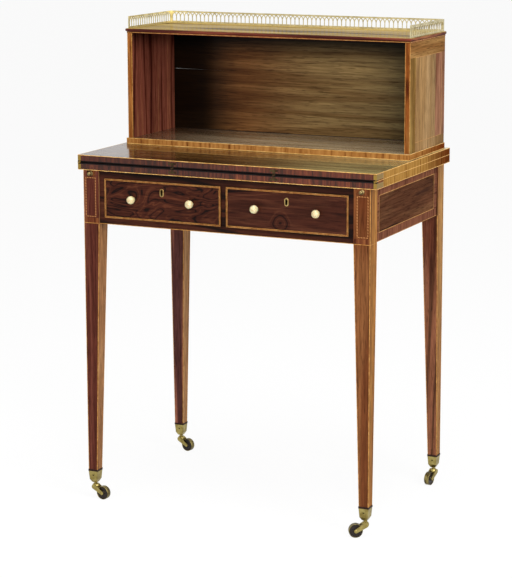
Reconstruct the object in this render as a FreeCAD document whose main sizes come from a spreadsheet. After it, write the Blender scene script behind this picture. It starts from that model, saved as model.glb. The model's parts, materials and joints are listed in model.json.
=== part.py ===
"""Bonheur du jour: a writing table with an open upper stage, a fold-over flap on lopers, and two drawers.

Millimetres. +X is the sitter's right, +Y goes from the front to the back, +Z is up. The origin lies on
the floor, at the middle of the overall width and depth. Formulas name the sizes in the sheet, and
every Y in them counts back from the front edge of the writing top.
"""

import FreeCAD, Part
import math
import os
import re

import Sketcher

LEFT = -1
RIGHT = 1
SIDE_NAMES = {LEFT: "left", RIGHT: "right"}
TO_BACK = (0, 1, 0)
TO_RIGHT = (1, 0, 0)

# Turns a wedge's own Y up, and what is turned along +Z to face the front.
UPRIGHT = FreeCAD.Rotation(FreeCAD.Vector(1, 0, 0), 90)

# Two places closer than this are the same place.
NEAR = 0.001

# Flats that stand for the round of small pieces.
PEG_FLATS = 8
STEM_FLATS = 12
KNOB_FLATS = 12
WHEEL_FLATS = 32
ROOM_FLATS = 16
BALL_BANDS = 5
ARCH_STEPS = 2

# Driving sizes, each set by itself.
SIZES = {
    # writing top
    "top_width": 676,
    "top_depth": 424,
    "top_height": 750,
    "leaf_thick": 15.6,
    "leaf_gap": 0.3,
    "flap_depth": 177,
    "seam_gap": 0.5,
    "arris_radius": 3.2,
    "lining_border": 24,
    "lining_thick": 0.8,
    # legs and frieze
    "side_overhang": 13,
    "leg_head": 36,
    "leg_foot": 21,
    "frieze_height": 112.5,
    "frieze_setback": 3,
    "apron_thick": 20,
    "top_rail_thick": 15.5,
    "bottom_rail_thick": 13.5,
    "rail_depth": 50,
    "stile_width": 12,
    "partition_width": 12,
    "partition_setback": 6,
    # drawers
    "drawer_gap": 0.5,
    "drawer_room": 12,
    "drawer_front_thick": 18,
    "drawer_side_thick": 8,
    "drawer_side_height": 76,
    "drawer_bottom_thick": 5,
    "drawer_groove_depth": 3.5,
    "drawer_groove_rise": 6,
    "drawer_back_thick": 8,
    "drawer_back_inset": 4,
    "tail_length": 8,
    "pin_width": 6,
    "tail_flare": 1.3,
    "slide_gap": 0.3,
    "runner_thick": 12,
    "runner_ledge": 16,
    "guide_height": 20,
    "kicker_width": 14,
    "kicker_thick": 12,
    "stop_length": 24,
    "stop_depth": 12,
    "stop_height": 5,
    "stop_spread": 120,
    "drawer_knob_spread": 136,
    "drawer_knob_drop": 40,
    "drawer_knob_radius": 8.6,
    "drawer_knob_foot": 5.2,
    "drawer_knob_collar": 1.2,
    "drawer_knob_neck": 3.6,
    "drawer_knob_waist": 0.6,
    "knob_tenon_radius": 3,
    "knob_tenon_length": 10,
    "fit_gap": 0.05,
    "tool_spare": 1,
    "escutcheon_drop": 22,
    "escutcheon_width": 9.6,
    "escutcheon_height": 17,
    "escutcheon_rim": 2.8,
    "escutcheon_thick": 3,
    "escutcheon_proud": 0.4,
    "lock_width": 40,
    "lock_height": 30,
    "lock_thick": 11,
    "bolt_width": 14,
    "bolt_thick": 4,
    "bolt_length": 22,
    "bolt_throw": 7,
    "bolt_gap": 0.3,
    "bolt_end_room": 1,
    "keyhole_width": 3,
    "keyhole_length": 10,
    # lopers
    "loper_width": 20,
    "loper_height": 12.5,
    "loper_room": 4,
    "loper_stop_length": 14,
    "loper_travel": 160,
    "loper_guide_rest": 12,
    "loper_knob_radius": 4.4,
    "loper_knob_foot": 4.8,
    "loper_knob_collar": 1.4,
    "loper_knob_neck": 2,
    "loper_knob_waist": 2.2,
    "loper_tenon_radius": 1.6,
    "loper_tenon_length": 12,
    # flap hinges
    "barrel_radius": 1.2,
    "barrel_length": 3,
    "barrel_gap": 0.2,
    "hinge_pin_radius": 0.6,
    "axis_forward": 0.3,
    "plate_thick": 1.5,
    "plate_height": 10,
    "plate_margin": 0.3,
    "corner_plate_length": 35,
    "corner_plate_front": 7,
    "front_plate_width": 18,
    "front_plate_height": 7.8,
    "front_plate_bar": 4.5,
    "front_plate_stem": 6.4,
    "front_plate_spread": 230,
    # upper stage
    "plinth_height": 12.6,
    "plinth_reveal_front": 22,
    "plinth_reveal_side": 8,
    "plinth_reveal_back": 12,
    "side_inset": 2,
    "side_setback": 5,
    "side_thick": 11,
    "stage_opening": 228.4,
    "back_thick": 10,
    "upper_board": 94,
    "middle_board": 60,
    "crack_width": 1.2,
    "crack_length": 130,
    "cornice_bed": 3.6,
    "cornice_thick": 6.4,
    "cornice_overhang": 3,
    "cornice_nose": 2.4,
    "cornice_bed_step": 0.6,
    "dowel_radius": 4,
    "dowel_length": 14,
    "dowel_inset": 30,
    # gallery
    "gallery_height": 26,
    "gallery_thick": 1.6,
    "gallery_inset": 4,
    "gallery_setback": 6,
    "bay_pitch": 10.1,
    "bar_width": 1.5,
    "gallery_base": 3.6,
    "gallery_rail": 2.6,
    "gallery_end": 4,
    # casters
    "wood_end": 62,
    "collar_height": 4,
    "collar_proud": 0.8,
    "tenon_size": 16,
    "tenon_length": 17.8,
    "socket_mouth": 21.6,
    "socket_waist": 18.6,
    "socket_neck": 10.5,
    "socket_shoulder": 7,
    "socket_floor": 6,
    "socket_screw_head": 2.3,
    "socket_screw_sink": 1.6,
    "socket_screw_radius": 1.1,
    "socket_screw_length": 9,
    "socket_screw_drop": 8,
    "stem_radius": 3,
    "stem_head_radius": 4.6,
    "stem_head_thick": 1.5,
    "swivel_gap": 0.3,
    "neck_radius": 5,
    "neck_height": 4,
    "yoke_radius": 8.6,
    "wheel_radius": 14.5,
    "wheel_width": 11,
    "wheel_gap": 0.4,
    "wheel_room": 1,
    "arm_thick": 2.4,
    "arm_radius": 4,
    "axle_radius": 1.8,
    "axle_head": 0.7,
    "axle_head_radius": 2.8,
    "caster_trail": 20,
    "swivel_front_left": -4.5,
    "swivel_front_right": -149,
    "swivel_back_left": -10,
    "swivel_back_right": -98,
}

# Sizes that follow from the driving ones.
DERIVED = {
    "front": "-(top_depth + collar_proud - knob_tip) / 2",
    "drawer_knob_start": "drawer_knob_collar + drawer_knob_waist",
    "drawer_knob_middle": "drawer_knob_start + sqrt(drawer_knob_radius ^ 2 - drawer_knob_neck ^ 2)",
    "drawer_knob_reach": "drawer_knob_middle + drawer_knob_radius",
    "loper_knob_start": "loper_knob_collar + loper_knob_waist",
    "loper_knob_middle": "loper_knob_start + sqrt(loper_knob_radius ^ 2 - loper_knob_neck ^ 2)",
    "loper_knob_reach": "loper_knob_middle + loper_knob_radius",
    "knob_tip": "drawer_knob_reach - frieze_setback",
    "half_top": "top_width / 2",
    "flap_under": "top_height - leaf_thick",
    "fixed_top": "flap_under - leaf_gap",
    "hinge_height": "fixed_top + leaf_gap / 2",
    "carcass_top": "fixed_top - leaf_thick",
    "frieze_bottom": "carcass_top - frieze_height",
    "leg_outer": "half_top - side_overhang",
    "leg_inner": "leg_outer - leg_head",
    "apron_outer": "leg_outer - frieze_setback",
    "apron_inner": "apron_outer - apron_thick",
    "rail_back": "frieze_setback + rail_depth",
    "back_apron_back": "top_depth - frieze_setback",
    "back_apron_front": "back_apron_back - apron_thick",
    "opening_top": "carcass_top - top_rail_thick",
    "opening_bottom": "frieze_bottom + bottom_rail_thick",
    "opening_outer": "leg_inner - stile_width",
    "opening_inner": "partition_width / 2",
    "drawer_outer": "opening_outer - drawer_gap",
    "drawer_inner": "opening_inner + drawer_gap",
    "drawer_middle": "(drawer_outer + drawer_inner) / 2",
    "drawer_low": "opening_bottom + drawer_gap",
    "drawer_high": "opening_top - drawer_gap",
    "drawer_face": "frieze_setback",
    "drawer_front_back": "drawer_face + drawer_front_thick",
    "drawer_end": "back_apron_front - drawer_room",
    "side_low": "opening_bottom + slide_gap",
    "side_high": "side_low + drawer_side_height",
    "groove_low": "side_low + drawer_groove_rise",
    "groove_high": "groove_low + drawer_bottom_thick",
    "tail_front": "drawer_front_back - tail_length",
    "tail_pitch": "drawer_side_height / 3",
    "knob_height": "drawer_high - drawer_knob_drop",
    "keyhole_height": "drawer_high - escutcheon_drop",
    "bolt_front": "drawer_front_back - lock_thick / 2 - bolt_thick / 2",
    "bolt_top": "drawer_high - drawer_gap",
    "loper_middle": "leg_outer - leg_head / 2",
    "loper_outer": "loper_middle + loper_width / 2",
    "loper_inner": "loper_middle - loper_width / 2",
    "loper_top": "carcass_top - slide_gap",
    "loper_low": "loper_top - loper_height",
    "slot_outer": "loper_outer + slide_gap",
    "slot_inner": "loper_inner - slide_gap",
    "slot_low": "loper_low - slide_gap",
    "plate_near": "leaf_gap / 2 + arris_radius + plate_margin",
    "loper_end": "top_depth - leg_head - loper_room",
    "loper_stop_front": "loper_end - loper_stop_length",
    "guide_back": "loper_stop_front - loper_travel - slide_gap",
    "stage_outer": "half_top - plinth_reveal_side",
    "plinth_front": "flap_depth + plinth_reveal_front",
    "plinth_back": "top_depth - plinth_reveal_back",
    "plinth_top": "top_height + plinth_height",
    "side_outer": "stage_outer - side_inset",
    "side_inner": "side_outer - side_thick",
    "side_front": "plinth_front + side_setback",
    "stage_top": "plinth_top + stage_opening",
    "upper_board_low": "stage_top - upper_board",
    "back_face": "plinth_back - back_thick",
    "cornice_outer": "side_outer + cornice_overhang",
    "cornice_front": "side_front - cornice_overhang",
    "cornice_low": "stage_top + cornice_bed",
    "cornice_top": "cornice_low + cornice_thick",
    "gallery_outer": "cornice_outer - gallery_inset",
    "gallery_back_face": "plinth_back - gallery_inset",
    "gallery_front": "cornice_front + gallery_setback",
    "gallery_sides_back": "gallery_back_face - gallery_thick",
    "bar_half": "bar_width / 2",
    "back_bays_span": "2 * (gallery_outer - gallery_end)",
    "side_bays_span": "gallery_sides_back - gallery_front - 2 * gallery_end",
    "back_bays": "round(back_bays_span / bay_pitch)",
    "side_bays": "round(side_bays_span / bay_pitch)",
    "hinge_axis_y": "-axis_forward",
    "knuckle_step": "barrel_length + barrel_gap",
    "leg_axis": "leg_outer - leg_foot / 2",
    "front_axis": "leg_foot / 2",
    "back_axis": "top_depth - leg_foot / 2",
    "tenon_low": "wood_end - tenon_length",
    "socket_bottom": "tenon_low - socket_floor - 2 * slide_gap - stem_head_thick",
    "pocket_low": "socket_bottom + socket_floor",
    "crown_top": "socket_bottom - swivel_gap",
    "waist_height": "socket_bottom + socket_shoulder",
    "screw_height": "wood_end - socket_screw_drop",
    "cup_slope": "(socket_mouth - socket_waist) / (wood_end - waist_height) / 2",
    "screw_face": "socket_mouth / 2 - cup_slope * socket_screw_drop",
    "stem_head_low": "pocket_low + slide_gap",
    "yoke_high": "crown_top - neck_height",
    "yoke_low": "yoke_high - 2 * arm_radius",
    "arm_head": "yoke_low + arm_radius",
    "arm_drop": "arm_head - wheel_radius",
    "arm_span": "sqrt(caster_trail ^ 2 + arm_drop ^ 2)",
    "arm_side_x": "arm_radius * arm_drop / arm_span",
    "arm_side_z": "arm_radius * caster_trail / arm_span",
    "arm_end_x": "arm_radius * caster_trail / arm_span",
    "arm_end_z": "-arm_radius * arm_drop / arm_span",
    "wheel_space": "wheel_width + 2 * wheel_gap",
    "fork_width": "wheel_space + 2 * arm_thick",
}

doc = FreeCAD.newDocument("BonheurDuJour")


def fill_sheet():
    """Write the driving sizes and the formulas that follow from them into the sheet."""
    sheet = doc.addObject("Spreadsheet::Sheet", "Sizes")
    for row, (alias, value) in enumerate(SIZES.items(), start=1):
        sheet.set(f"A{row}", alias)
        sheet.set(f"B{row}", str(value))
        sheet.setAlias(f"B{row}", alias)
    for row, (alias, text) in enumerate(DERIVED.items(), start=1):
        sheet.set(f"D{row}", alias)
        sheet.setAlias(f"E{row}", alias)
        sheet.set(f"E{row}", "=" + text)
    sheet.recompute()
    return sheet


sheet = fill_sheet()


def number(text):
    """The value of a formula, worked out in a spare cell of the sheet."""
    sheet.set("G1", "=" + text)
    sheet.recompute()
    return float(sheet.get("G1"))


def linked(text):
    """The formula with each size's name turned into a reference to its cell."""
    names = set(SIZES) | set(DERIVED)
    return re.sub(r"[a-z_]+", lambda word: "Sizes." + word[0] if word[0] in names else word[0], text)


def bind(item, **formulas):
    """Tie properties of a document object to formulas."""
    for name, text in formulas.items():
        item.setExpression(name, linked(text))


def place(item, x="0", y="0", z="0", turn=None):
    """Tie an object's place, and its turn about +Z, to formulas."""
    if turn is not None:
        # Any angle but 0 will do here: it sets the axis, and the formula then sets the angle.
        item.Placement = FreeCAD.Placement(FreeCAD.Vector(), FreeCAD.Rotation(FreeCAD.Vector(0, 0, 1), 30))
        item.setExpression("Placement.Rotation.Angle", linked(turn))
    for axis, text in (("x", x), ("y", y), ("z", z)):
        item.setExpression(f"Placement.Base.{axis}", linked(text))
    return item


def back_from_front(text):
    """The row's Y of a distance back from the front edge of the writing top."""
    return f"front + ({text})"


def sides(side, inner, outer):
    """The low and high X of what lies between inner and outer on one side of the middle."""
    return (inner, outer) if side == RIGHT else (f"-({outer})", f"-({inner})")


def about(middle, half):
    """The span that reaches half each way from a middle."""
    return f"{middle} - ({half})", f"{middle} + ({half})"


def block(name, x_span, y_span, z_span):
    """A board or a square cut, given by its span along each axis."""
    item = doc.addObject("Part::Box", name)
    for size, span in (("Length", x_span), ("Width", y_span), ("Height", z_span)):
        bind(item, **{size: f"({span[1]}) - ({span[0]})"})
    return place(item, x_span[0], back_from_front(y_span[0]), z_span[0])


def rod(name, flats, radius, length, x, y, z, direction=(0, 0, 1)):
    """A pin that runs from a point in a direction, its flats all inside the round of that radius."""
    item = doc.addObject("Part::Prism", name)
    item.Polygon = flats
    bind(item, Circumradius=radius, Height=length)
    turn = FreeCAD.Rotation(FreeCAD.Vector(0, 0, 1), FreeCAD.Vector(*direction))
    item.Placement = FreeCAD.Placement(FreeCAD.Vector(), turn)
    return place(item, x, y, z)


def bore(name, flats, radius, length, x, y, z, direction=(0, 0, 1)):
    """The tool for a hole that a round of that radius turns in: its flats all lie outside the round."""
    return rod(name, flats, f"({radius}) / cos(180 / {flats})", length, x, y, z, direction)


def frustum(name, x, y, low, high, low_size, high_size):
    """An upright square taper, centred on x and y."""
    item = doc.addObject("Part::Wedge", name)
    bind(item, Ymin=low, Ymax=high)
    for axis in "XZ":
        bind(item, **{axis + "min": f"-({low_size}) / 2", axis + "max": f"({low_size}) / 2"})
        bind(item, **{axis + "2min": f"-({high_size}) / 2", axis + "2max": f"({high_size}) / 2"})
    item.Placement = FreeCAD.Placement(FreeCAD.Vector(), UPRIGHT)
    return place(item, x, y, "0")


def cut(name, base, *tools):
    """The base less every tool."""
    tool = tools[0] if len(tools) == 1 else joined(name + "_cuts", *tools)
    item = doc.addObject("Part::Cut", name)
    item.Base = base
    item.Tool = tool
    return item


def joined(name, *shapes):
    """Several shapes as one piece."""
    item = doc.addObject("Part::MultiFuse", name)
    item.Shapes = list(shapes)
    item.Refine = True
    return item


def group(name, *shapes):
    """Like pieces that share one node and stay separate solids."""
    item = doc.addObject("Part::Compound", name)
    item.Links = list(shapes)
    return item


def origin_plane(body, role):
    """One of a body's own origin planes."""
    return next(feature for feature in body.Origin.OriginFeatures if feature.Role == role)


def new_sketch(body, role, name):
    """An empty sketch on one of the body's origin planes."""
    sketch = body.newObject("Sketcher::SketchObject", name)
    sketch.AttachmentSupport = (origin_plane(body, role), [""])
    sketch.MapMode = "FlatFace"
    return sketch


def draw_outline(sketch, corners):
    """A closed outline of straight lines through corners taken anticlockwise, held by formulas."""
    points = [FreeCAD.Vector(number(x), number(y), 0) for x, y in corners]
    for start, stop in zip(points, points[1:] + points[:1]):
        sketch.addGeometry(Part.LineSegment(start, stop))
    for index, corner in enumerate(corners):
        sketch.addConstraint(Sketcher.Constraint("Coincident", index, 2, (index + 1) % len(corners), 1))
        for kind, text in zip(("DistanceX", "DistanceY"), corner):
            hold = Sketcher.Constraint(kind, -1, 1, index, 1, number(text))
            sketch.setExpression(f"Constraints[{sketch.addConstraint(hold)}]", linked(text))
    return sketch


def padded(name, role, corners, length, middle=False):
    """A body whose one outline is drawn out along the normal of one of its planes."""
    body = doc.addObject("PartDesign::Body", name)
    pad = body.newObject("PartDesign::Pad", name + "_pad")
    pad.Profile = draw_outline(new_sketch(body, role, name + "_outline"), corners)
    pad.Midplane = middle
    bind(pad, Length=length)
    return body


def pattern(body, feature, kind, direction, **formulas):
    """Repeat a body's feature along a line, or round an axis."""
    repeats = body.newObject(f"PartDesign::{kind}Pattern", f"{feature.Name}_repeats")
    repeats.Originals = [feature]
    setattr(repeats, "Axis" if kind == "Polar" else "Direction", direction)
    bind(repeats, **formulas)
    body.Tip = repeats


def pocket(body, name, corners):
    """Cut an outline right through a body, along the Y of its own."""
    hole = body.newObject("PartDesign::Pocket", name)
    hole.Profile = draw_outline(new_sketch(body, "XZ_Plane", name + "_outline"), corners)
    hole.Type = "ThroughAll"
    hole.Midplane = True
    body.Tip = hole
    return hole


def pared(name, profile, stock):
    """A knob's shape in flats: a square blank of half width stock, pared to a profile from every side.

    The profile runs up from height 0, as (distance from the axis, height), and ends on the axis.
    """
    high = profile[-1][1]
    body = padded(name, "XY_Plane", [
        (f"-({stock})", f"-({stock})"),
        (stock, f"-({stock})"),
        (stock, stock),
        (f"-({stock})", stock),
    ], high)
    beyond = f"2 * ({stock})"
    waste = [(profile[0][0], "-tool_spare"), (beyond, "-tool_spare"), (beyond, f"{high} + tool_spare"),
             ("0", f"{high} + tool_spare")]
    side = pocket(body, name + "_side", waste + profile[::-1])
    pattern(body, side, "Polar", (origin_plane(body, "Z_Axis"), [""]), Occurrences=str(KNOB_FLATS))
    return body


# ---- legs ------------------------------------------------------------------------------------------------

CORNERS = {
    "front_left": (LEFT, "front_axis"),
    "front_right": (RIGHT, "front_axis"),
    "back_left": (LEFT, "back_axis"),
    "back_right": (RIGHT, "back_axis"),
}


def leg_depth(corner, size):
    """The Y span of a leg of one size: outer faces stay flush with the front or the back."""
    return ("0", size) if corner.startswith("front") else (f"top_depth - ({size})", "top_depth")


def square_at(corner, size):
    """The X and Y spans of a square of one size on a leg's foot axis."""
    side, axis = CORNERS[corner]
    x_span = sides(side, f"leg_axis - ({size}) / 2", f"leg_axis + ({size}) / 2")
    return x_span, (f"{axis} - ({size}) / 2", f"{axis} + ({size}) / 2")


def tapered_shaft(corner):
    """The leg below the frieze: its two inner faces taper and its two outer faces are plumb."""
    side, _ = CORNERS[corner]
    item = doc.addObject("Part::Wedge", f"shaft_{corner}")
    bind(item, Ymin="wood_end + collar_height", Ymax="frieze_bottom")
    for mark, size in (("", "leg_foot"), ("2", "leg_head")):
        low, high = sides(side, f"leg_outer - {size}", "leg_outer")
        near, far = leg_depth(corner, size)
        bind(item, **{f"X{mark}min": low, f"X{mark}max": high})
        bind(item, **{f"Z{mark}min": f"-({far})", f"Z{mark}max": f"-({near})"})
    item.Placement = FreeCAD.Placement(FreeCAD.Vector(), UPRIGHT)
    return place(item, "0", "front", "0")


def socket_screw(corner):
    """A screw through the front of a caster socket into the leg's tenon, its head let in."""
    side, axis = CORNERS[corner]
    face = (f"{side} * leg_axis", back_from_front(f"{axis} - screw_face"), "screw_height")
    head = rod(f"screw_head_{corner}", PEG_FLATS, "socket_screw_head", "socket_screw_sink", *face, TO_BACK)
    shank = rod(f"screw_shank_{corner}", PEG_FLATS, "socket_screw_radius", "socket_screw_length", *face,
                TO_BACK)
    return joined(f"screw_{corner}", head, shank)


def leg(corner, screw):
    """A square leg: head, tapered shaft and a tenon for the caster socket, slotted in front for a loper."""
    side, _ = CORNERS[corner]
    head = block(f"head_{corner}", sides(side, "leg_inner", "leg_outer"), leg_depth(corner, "leg_head"),
                 ("frieze_bottom", "carcass_top"))
    tenon = block(f"tenon_{corner}", *square_at(corner, "tenon_size"),
                  ("tenon_low", "wood_end + collar_height"))
    blank = joined(f"blank_{corner}", head, tapered_shaft(corner), tenon)
    if corner.startswith("back"):
        return cut(f"leg_{corner}", blank, screw)
    slot = block(f"loper_slot_{corner}", sides(side, "slot_inner", "slot_outer"),
                 ("-tool_spare", "leg_head + tool_spare"), ("slot_low", "carcass_top + tool_spare"))
    return cut(f"leg_{corner}", blank, screw, slot)


def collars():
    """A dark square ring round the end of each leg, above the socket."""
    rings = []
    for corner in CORNERS:
        outer = block(f"collar_outer_{corner}", *square_at(corner, "leg_foot + 2 * collar_proud"),
                      ("wood_end", "wood_end + collar_height"))
        inner = block(f"collar_inner_{corner}", *square_at(corner, "tenon_size"),
                      ("wood_end - tool_spare", "wood_end + collar_height + tool_spare"))
        rings.append(cut(f"collar_{corner}", outer, inner))
    return group("leg_collars", *rings)


# ---- frieze ----------------------------------------------------------------------------------------------

def side_apron(side):
    """The frieze board between two legs of one side, rebated on top where the loper runs."""
    name = SIDE_NAMES[side]
    board = block(f"apron_board_{name}", sides(side, "apron_inner", "apron_outer"),
                  ("leg_head", "top_depth - leg_head"), ("frieze_bottom", "carcass_top"))
    rebate = block(f"apron_rebate_{name}", sides(side, "apron_inner - tool_spare", "slot_outer"),
                   ("leg_head - tool_spare", "top_depth - leg_head + tool_spare"),
                   ("slot_low", "carcass_top + tool_spare"))
    return cut(f"apron_{name}", board, rebate)


def back_apron():
    """The frieze board between the back legs."""
    return block("apron_back", ("-leg_inner", "leg_inner"), ("back_apron_front", "back_apron_back"),
                 ("frieze_bottom", "carcass_top"))


def top_rail():
    """The flat rail over the drawers, with a mortise for each lock's bolt."""
    rail = block("top_rail_board", ("-leg_inner", "leg_inner"), ("frieze_setback", "rail_back"),
                 ("opening_top", "carcass_top"))
    mortises = [
        block(f"mortise_{SIDE_NAMES[side]}", about(f"{side} * drawer_middle", "bolt_width / 2 + bolt_gap"),
              ("bolt_front - bolt_gap", "bolt_front + bolt_thick + bolt_gap"),
              ("opening_top - tool_spare", "opening_top + bolt_throw + bolt_end_room"))
        for side in (LEFT, RIGHT)
    ]
    return cut("rail_top_front", rail, *mortises)


def bottom_rail():
    """The flat rail under the drawers."""
    return block("rail_bottom_front", ("-leg_inner", "leg_inner"), ("frieze_setback", "rail_back"),
                 ("frieze_bottom", "opening_bottom"))


def stile(side):
    """The upright between a drawer opening and a front leg."""
    return block(f"stile_{SIDE_NAMES[side]}", sides(side, "opening_outer", "leg_inner"),
                 ("frieze_setback", "rail_back"), ("opening_bottom", "opening_top"))


def partition():
    """The upright between the two drawers."""
    return block("drawer_partition", ("-opening_inner", "opening_inner"),
                 ("partition_setback", "rail_back"), ("opening_bottom", "opening_top"))


def runners():
    """The rails that the drawer sides slide on, each with the guide that keeps its drawer straight."""
    run = ("rail_back", "back_apron_front")
    low = ("opening_bottom - runner_thick", "opening_bottom")
    high = ("opening_bottom - runner_thick", "opening_bottom + guide_height")
    pieces = []
    for side in (LEFT, RIGHT):
        name = SIDE_NAMES[side]
        span = sides(side, "drawer_outer - runner_ledge", "leg_inner")
        ledge = block(f"runner_ledge_{name}", span, run, low)
        guide = block(f"runner_guide_{name}", sides(side, "opening_outer", "leg_inner"), run, high)
        pieces.append(joined(f"runner_{name}", ledge, guide))
    reach = "drawer_inner + runner_ledge"
    ledge = block("runner_ledge_middle", about("0", reach), run, low)
    guide = block("runner_guide_middle", about("0", "opening_inner"), run, high)
    pieces.append(joined("runner_middle", ledge, guide))
    return group("drawer_runners", *pieces)


def kickers():
    """The strips over the drawer sides that keep an open drawer from tipping."""
    run = ("rail_back", "back_apron_front")
    height = ("opening_top", "opening_top + kicker_thick")
    spans = [
        sides(LEFT, "opening_outer - kicker_width", "opening_outer"),
        sides(RIGHT, "opening_outer - kicker_width", "opening_outer"),
        about("0", "kicker_width"),
    ]
    strips = [block(f"kicker_{index}", span, run, height) for index, span in enumerate(spans)]
    return group("drawer_kickers", *strips)


def drawer_stops():
    """Blocks on the bottom rail that the drawer fronts come to rest against."""
    depth = ("drawer_front_back + slide_gap", "drawer_front_back + slide_gap + stop_depth")
    height = ("opening_bottom", "opening_bottom + stop_height")
    blocks = []
    for side in (LEFT, RIGHT):
        for hand in (LEFT, RIGHT):
            span = about(f"{side} * drawer_middle + {hand} * stop_spread / 2", "stop_length / 2")
            blocks.append(block(f"stop_{SIDE_NAMES[side]}_{SIDE_NAMES[hand]}", span, depth, height))
    return group("drawer_stops", *blocks)


# ---- lopers ----------------------------------------------------------------------------------------------

def loper_guides():
    """An L-shaped rail inside each side apron: it carries the loper and stops its shoulder."""
    run = ("leg_head", "guide_back")
    pieces = []
    for side in (LEFT, RIGHT):
        name = SIDE_NAMES[side]
        rest = block(f"loper_rest_{name}", sides(side, "leg_inner", "apron_inner"), run,
                     ("slot_low - loper_guide_rest", "slot_low"))
        lip = block(f"loper_lip_{name}", sides(side, "leg_inner", "slot_inner"), run,
                    ("slot_low - loper_guide_rest", "carcass_top"))
        pieces.append(joined(f"loper_guide_{name}", rest, lip))
    return group("loper_guides", *pieces)


def knob(name, size, tenon_radius, tenon_length, x, y, z):
    """A knob that faces the front: a tenon, a foot, and a ball that starts as narrow as its neck."""
    root = f"asin({size}_neck / {size}_radius)"
    profile = [
        (tenon_radius, "0"),
        (tenon_radius, tenon_length),
        (f"{size}_foot", tenon_length),
        (f"{size}_foot", f"{tenon_length} + {size}_collar"),
        (f"{size}_neck", f"{tenon_length} + {size}_collar"),
    ]
    for band in range(BALL_BANDS):
        angle = f"({root} + (180 deg - {root}) * {band} / {BALL_BANDS})"
        height = f"{tenon_length} + {size}_middle - {size}_radius * cos{angle}"
        profile.append((f"{size}_radius * sin{angle}", height))
    profile.append(("0", f"{tenon_length} + {size}_reach"))
    item = pared(name, profile, f"{size}_radius + tool_spare")
    item.Placement = FreeCAD.Placement(FreeCAD.Vector(), UPRIGHT)
    return place(item, x, f"{y} + {tenon_length}", z)


def loper_knob(side):
    """The small brass knob that a loper is drawn out by."""
    return knob(f"loper_knob_{SIDE_NAMES[side]}", "loper_knob", "loper_tenon_radius", "loper_tenon_length",
                f"{side} * loper_middle", "front", "(loper_low + loper_top) / 2")


def loper(side, pull):
    """A slide that carries the open flap, with a shoulder at its back end that stops it in its guide."""
    name = SIDE_NAMES[side]
    height = ("loper_low", "loper_top")
    bar = block(f"loper_bar_{name}", sides(side, "loper_inner", "loper_outer"), ("0", "loper_end"), height)
    shoulder = block(f"loper_shoulder_{name}", sides(side, "leg_inner + slide_gap", "loper_outer"),
                     ("loper_stop_front", "loper_end"), height)
    return cut(f"loper_{name}", joined(f"loper_blank_{name}", bar, shoulder), pull)


# ---- drawers ---------------------------------------------------------------------------------------------

def oval(name, width, height, depth):
    """An upright bar whose ends are rounded in four flats, drawn out towards the front."""
    radius = f"({width}) / 2"
    straight = f"(({height}) / 2 - {radius})"
    slant = f"{radius} / sqrt(2)"
    upper = [
        (radius, straight),
        (slant, f"{straight} + {slant}"),
        ("0", f"({height}) / 2"),
        (f"-{slant}", f"{straight} + {slant}"),
        (f"-{radius}", straight),
    ]
    lower = [(x, f"-({y})") for x, y in reversed(upper)]
    return padded(name, "XZ_Plane", upper + lower, depth)


def escutcheon(side):
    """The brass lining of a keyhole, a flat ring let into the drawer front."""
    name = SIDE_NAMES[side]
    ring = oval(f"ring_{name}", "escutcheon_width", "escutcheon_height", "escutcheon_thick")
    behind = back_from_front("drawer_face + escutcheon_thick - escutcheon_proud")
    place(ring, f"{side} * drawer_middle", behind, "keyhole_height")
    return cut(f"escutcheon_{name}", ring, keyhole(f"ring_hole_{name}", side))


def keyhole(name, side):
    """The way for the key, from in front of the escutcheon to the lock."""
    hole = oval(name, "escutcheon_width - 2 * escutcheon_rim", "escutcheon_height - 2 * escutcheon_rim",
                "drawer_front_thick - lock_thick + escutcheon_proud + tool_spare")
    return place(hole, f"{side} * drawer_middle", back_from_front("drawer_front_back - lock_thick"),
                 "keyhole_height")


def drawer_knobs(side):
    """The two knobs of a drawer, with their tenons in its front."""
    knobs = []
    for hand in (LEFT, RIGHT):
        middle = f"{side} * drawer_middle + {hand} * drawer_knob_spread / 2"
        knobs.append(knob(f"knob_{SIDE_NAMES[side]}_{SIDE_NAMES[hand]}", "drawer_knob", "knob_tenon_radius",
                          "knob_tenon_length", middle, back_from_front("drawer_face"), "knob_height"))
    return group(f"drawer_knobs_{SIDE_NAMES[side]}", *knobs)


def drawer_side(side, hand):
    """One side of a drawer, with three dovetails in front and a groove for the bottom; hand says which."""
    name = f"{SIDE_NAMES[side]}_{SIDE_NAMES[hand]}"
    if side == hand:
        low = sides(side, "drawer_outer - drawer_side_thick", "drawer_outer")[0]
    else:
        low = sides(side, "drawer_inner", "drawer_inner + drawer_side_thick")[0]
    root = back_from_front("drawer_front_back")
    tip = back_from_front("tail_front")
    outline = [(back_from_front("drawer_end"), "side_high"), (root, "side_high")]
    for tail in (2, 1, 0):
        middle = f"side_low + tail_pitch * {tail + 0.5}"
        half = "(tail_pitch - pin_width) / 2"
        outline += [
            (root, f"{middle} + {half} - tail_flare"),
            (tip, f"{middle} + {half}"),
            (tip, f"{middle} - {half}"),
            (root, f"{middle} - {half} + tail_flare"),
        ]
    outline += [(root, "side_low"), (back_from_front("drawer_end"), "side_low")]
    board = padded(f"drawer_side_board_{name}", "YZ_Plane", outline, "drawer_side_thick")
    place(board, low)
    return cut(f"drawer_side_{name}", board, drawer_bottom(side, f"drawer_groove_{name}"))


def drawer_bottom(side, name):
    """A drawer's bottom board, slid in from behind in grooves in the front and the sides."""
    tongue = "drawer_side_thick - drawer_groove_depth"
    return block(name, sides(side, f"drawer_inner + {tongue}", f"drawer_outer - ({tongue})"),
                 ("drawer_front_back - drawer_groove_depth", "drawer_end"), ("groove_low", "groove_high"))


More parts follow.
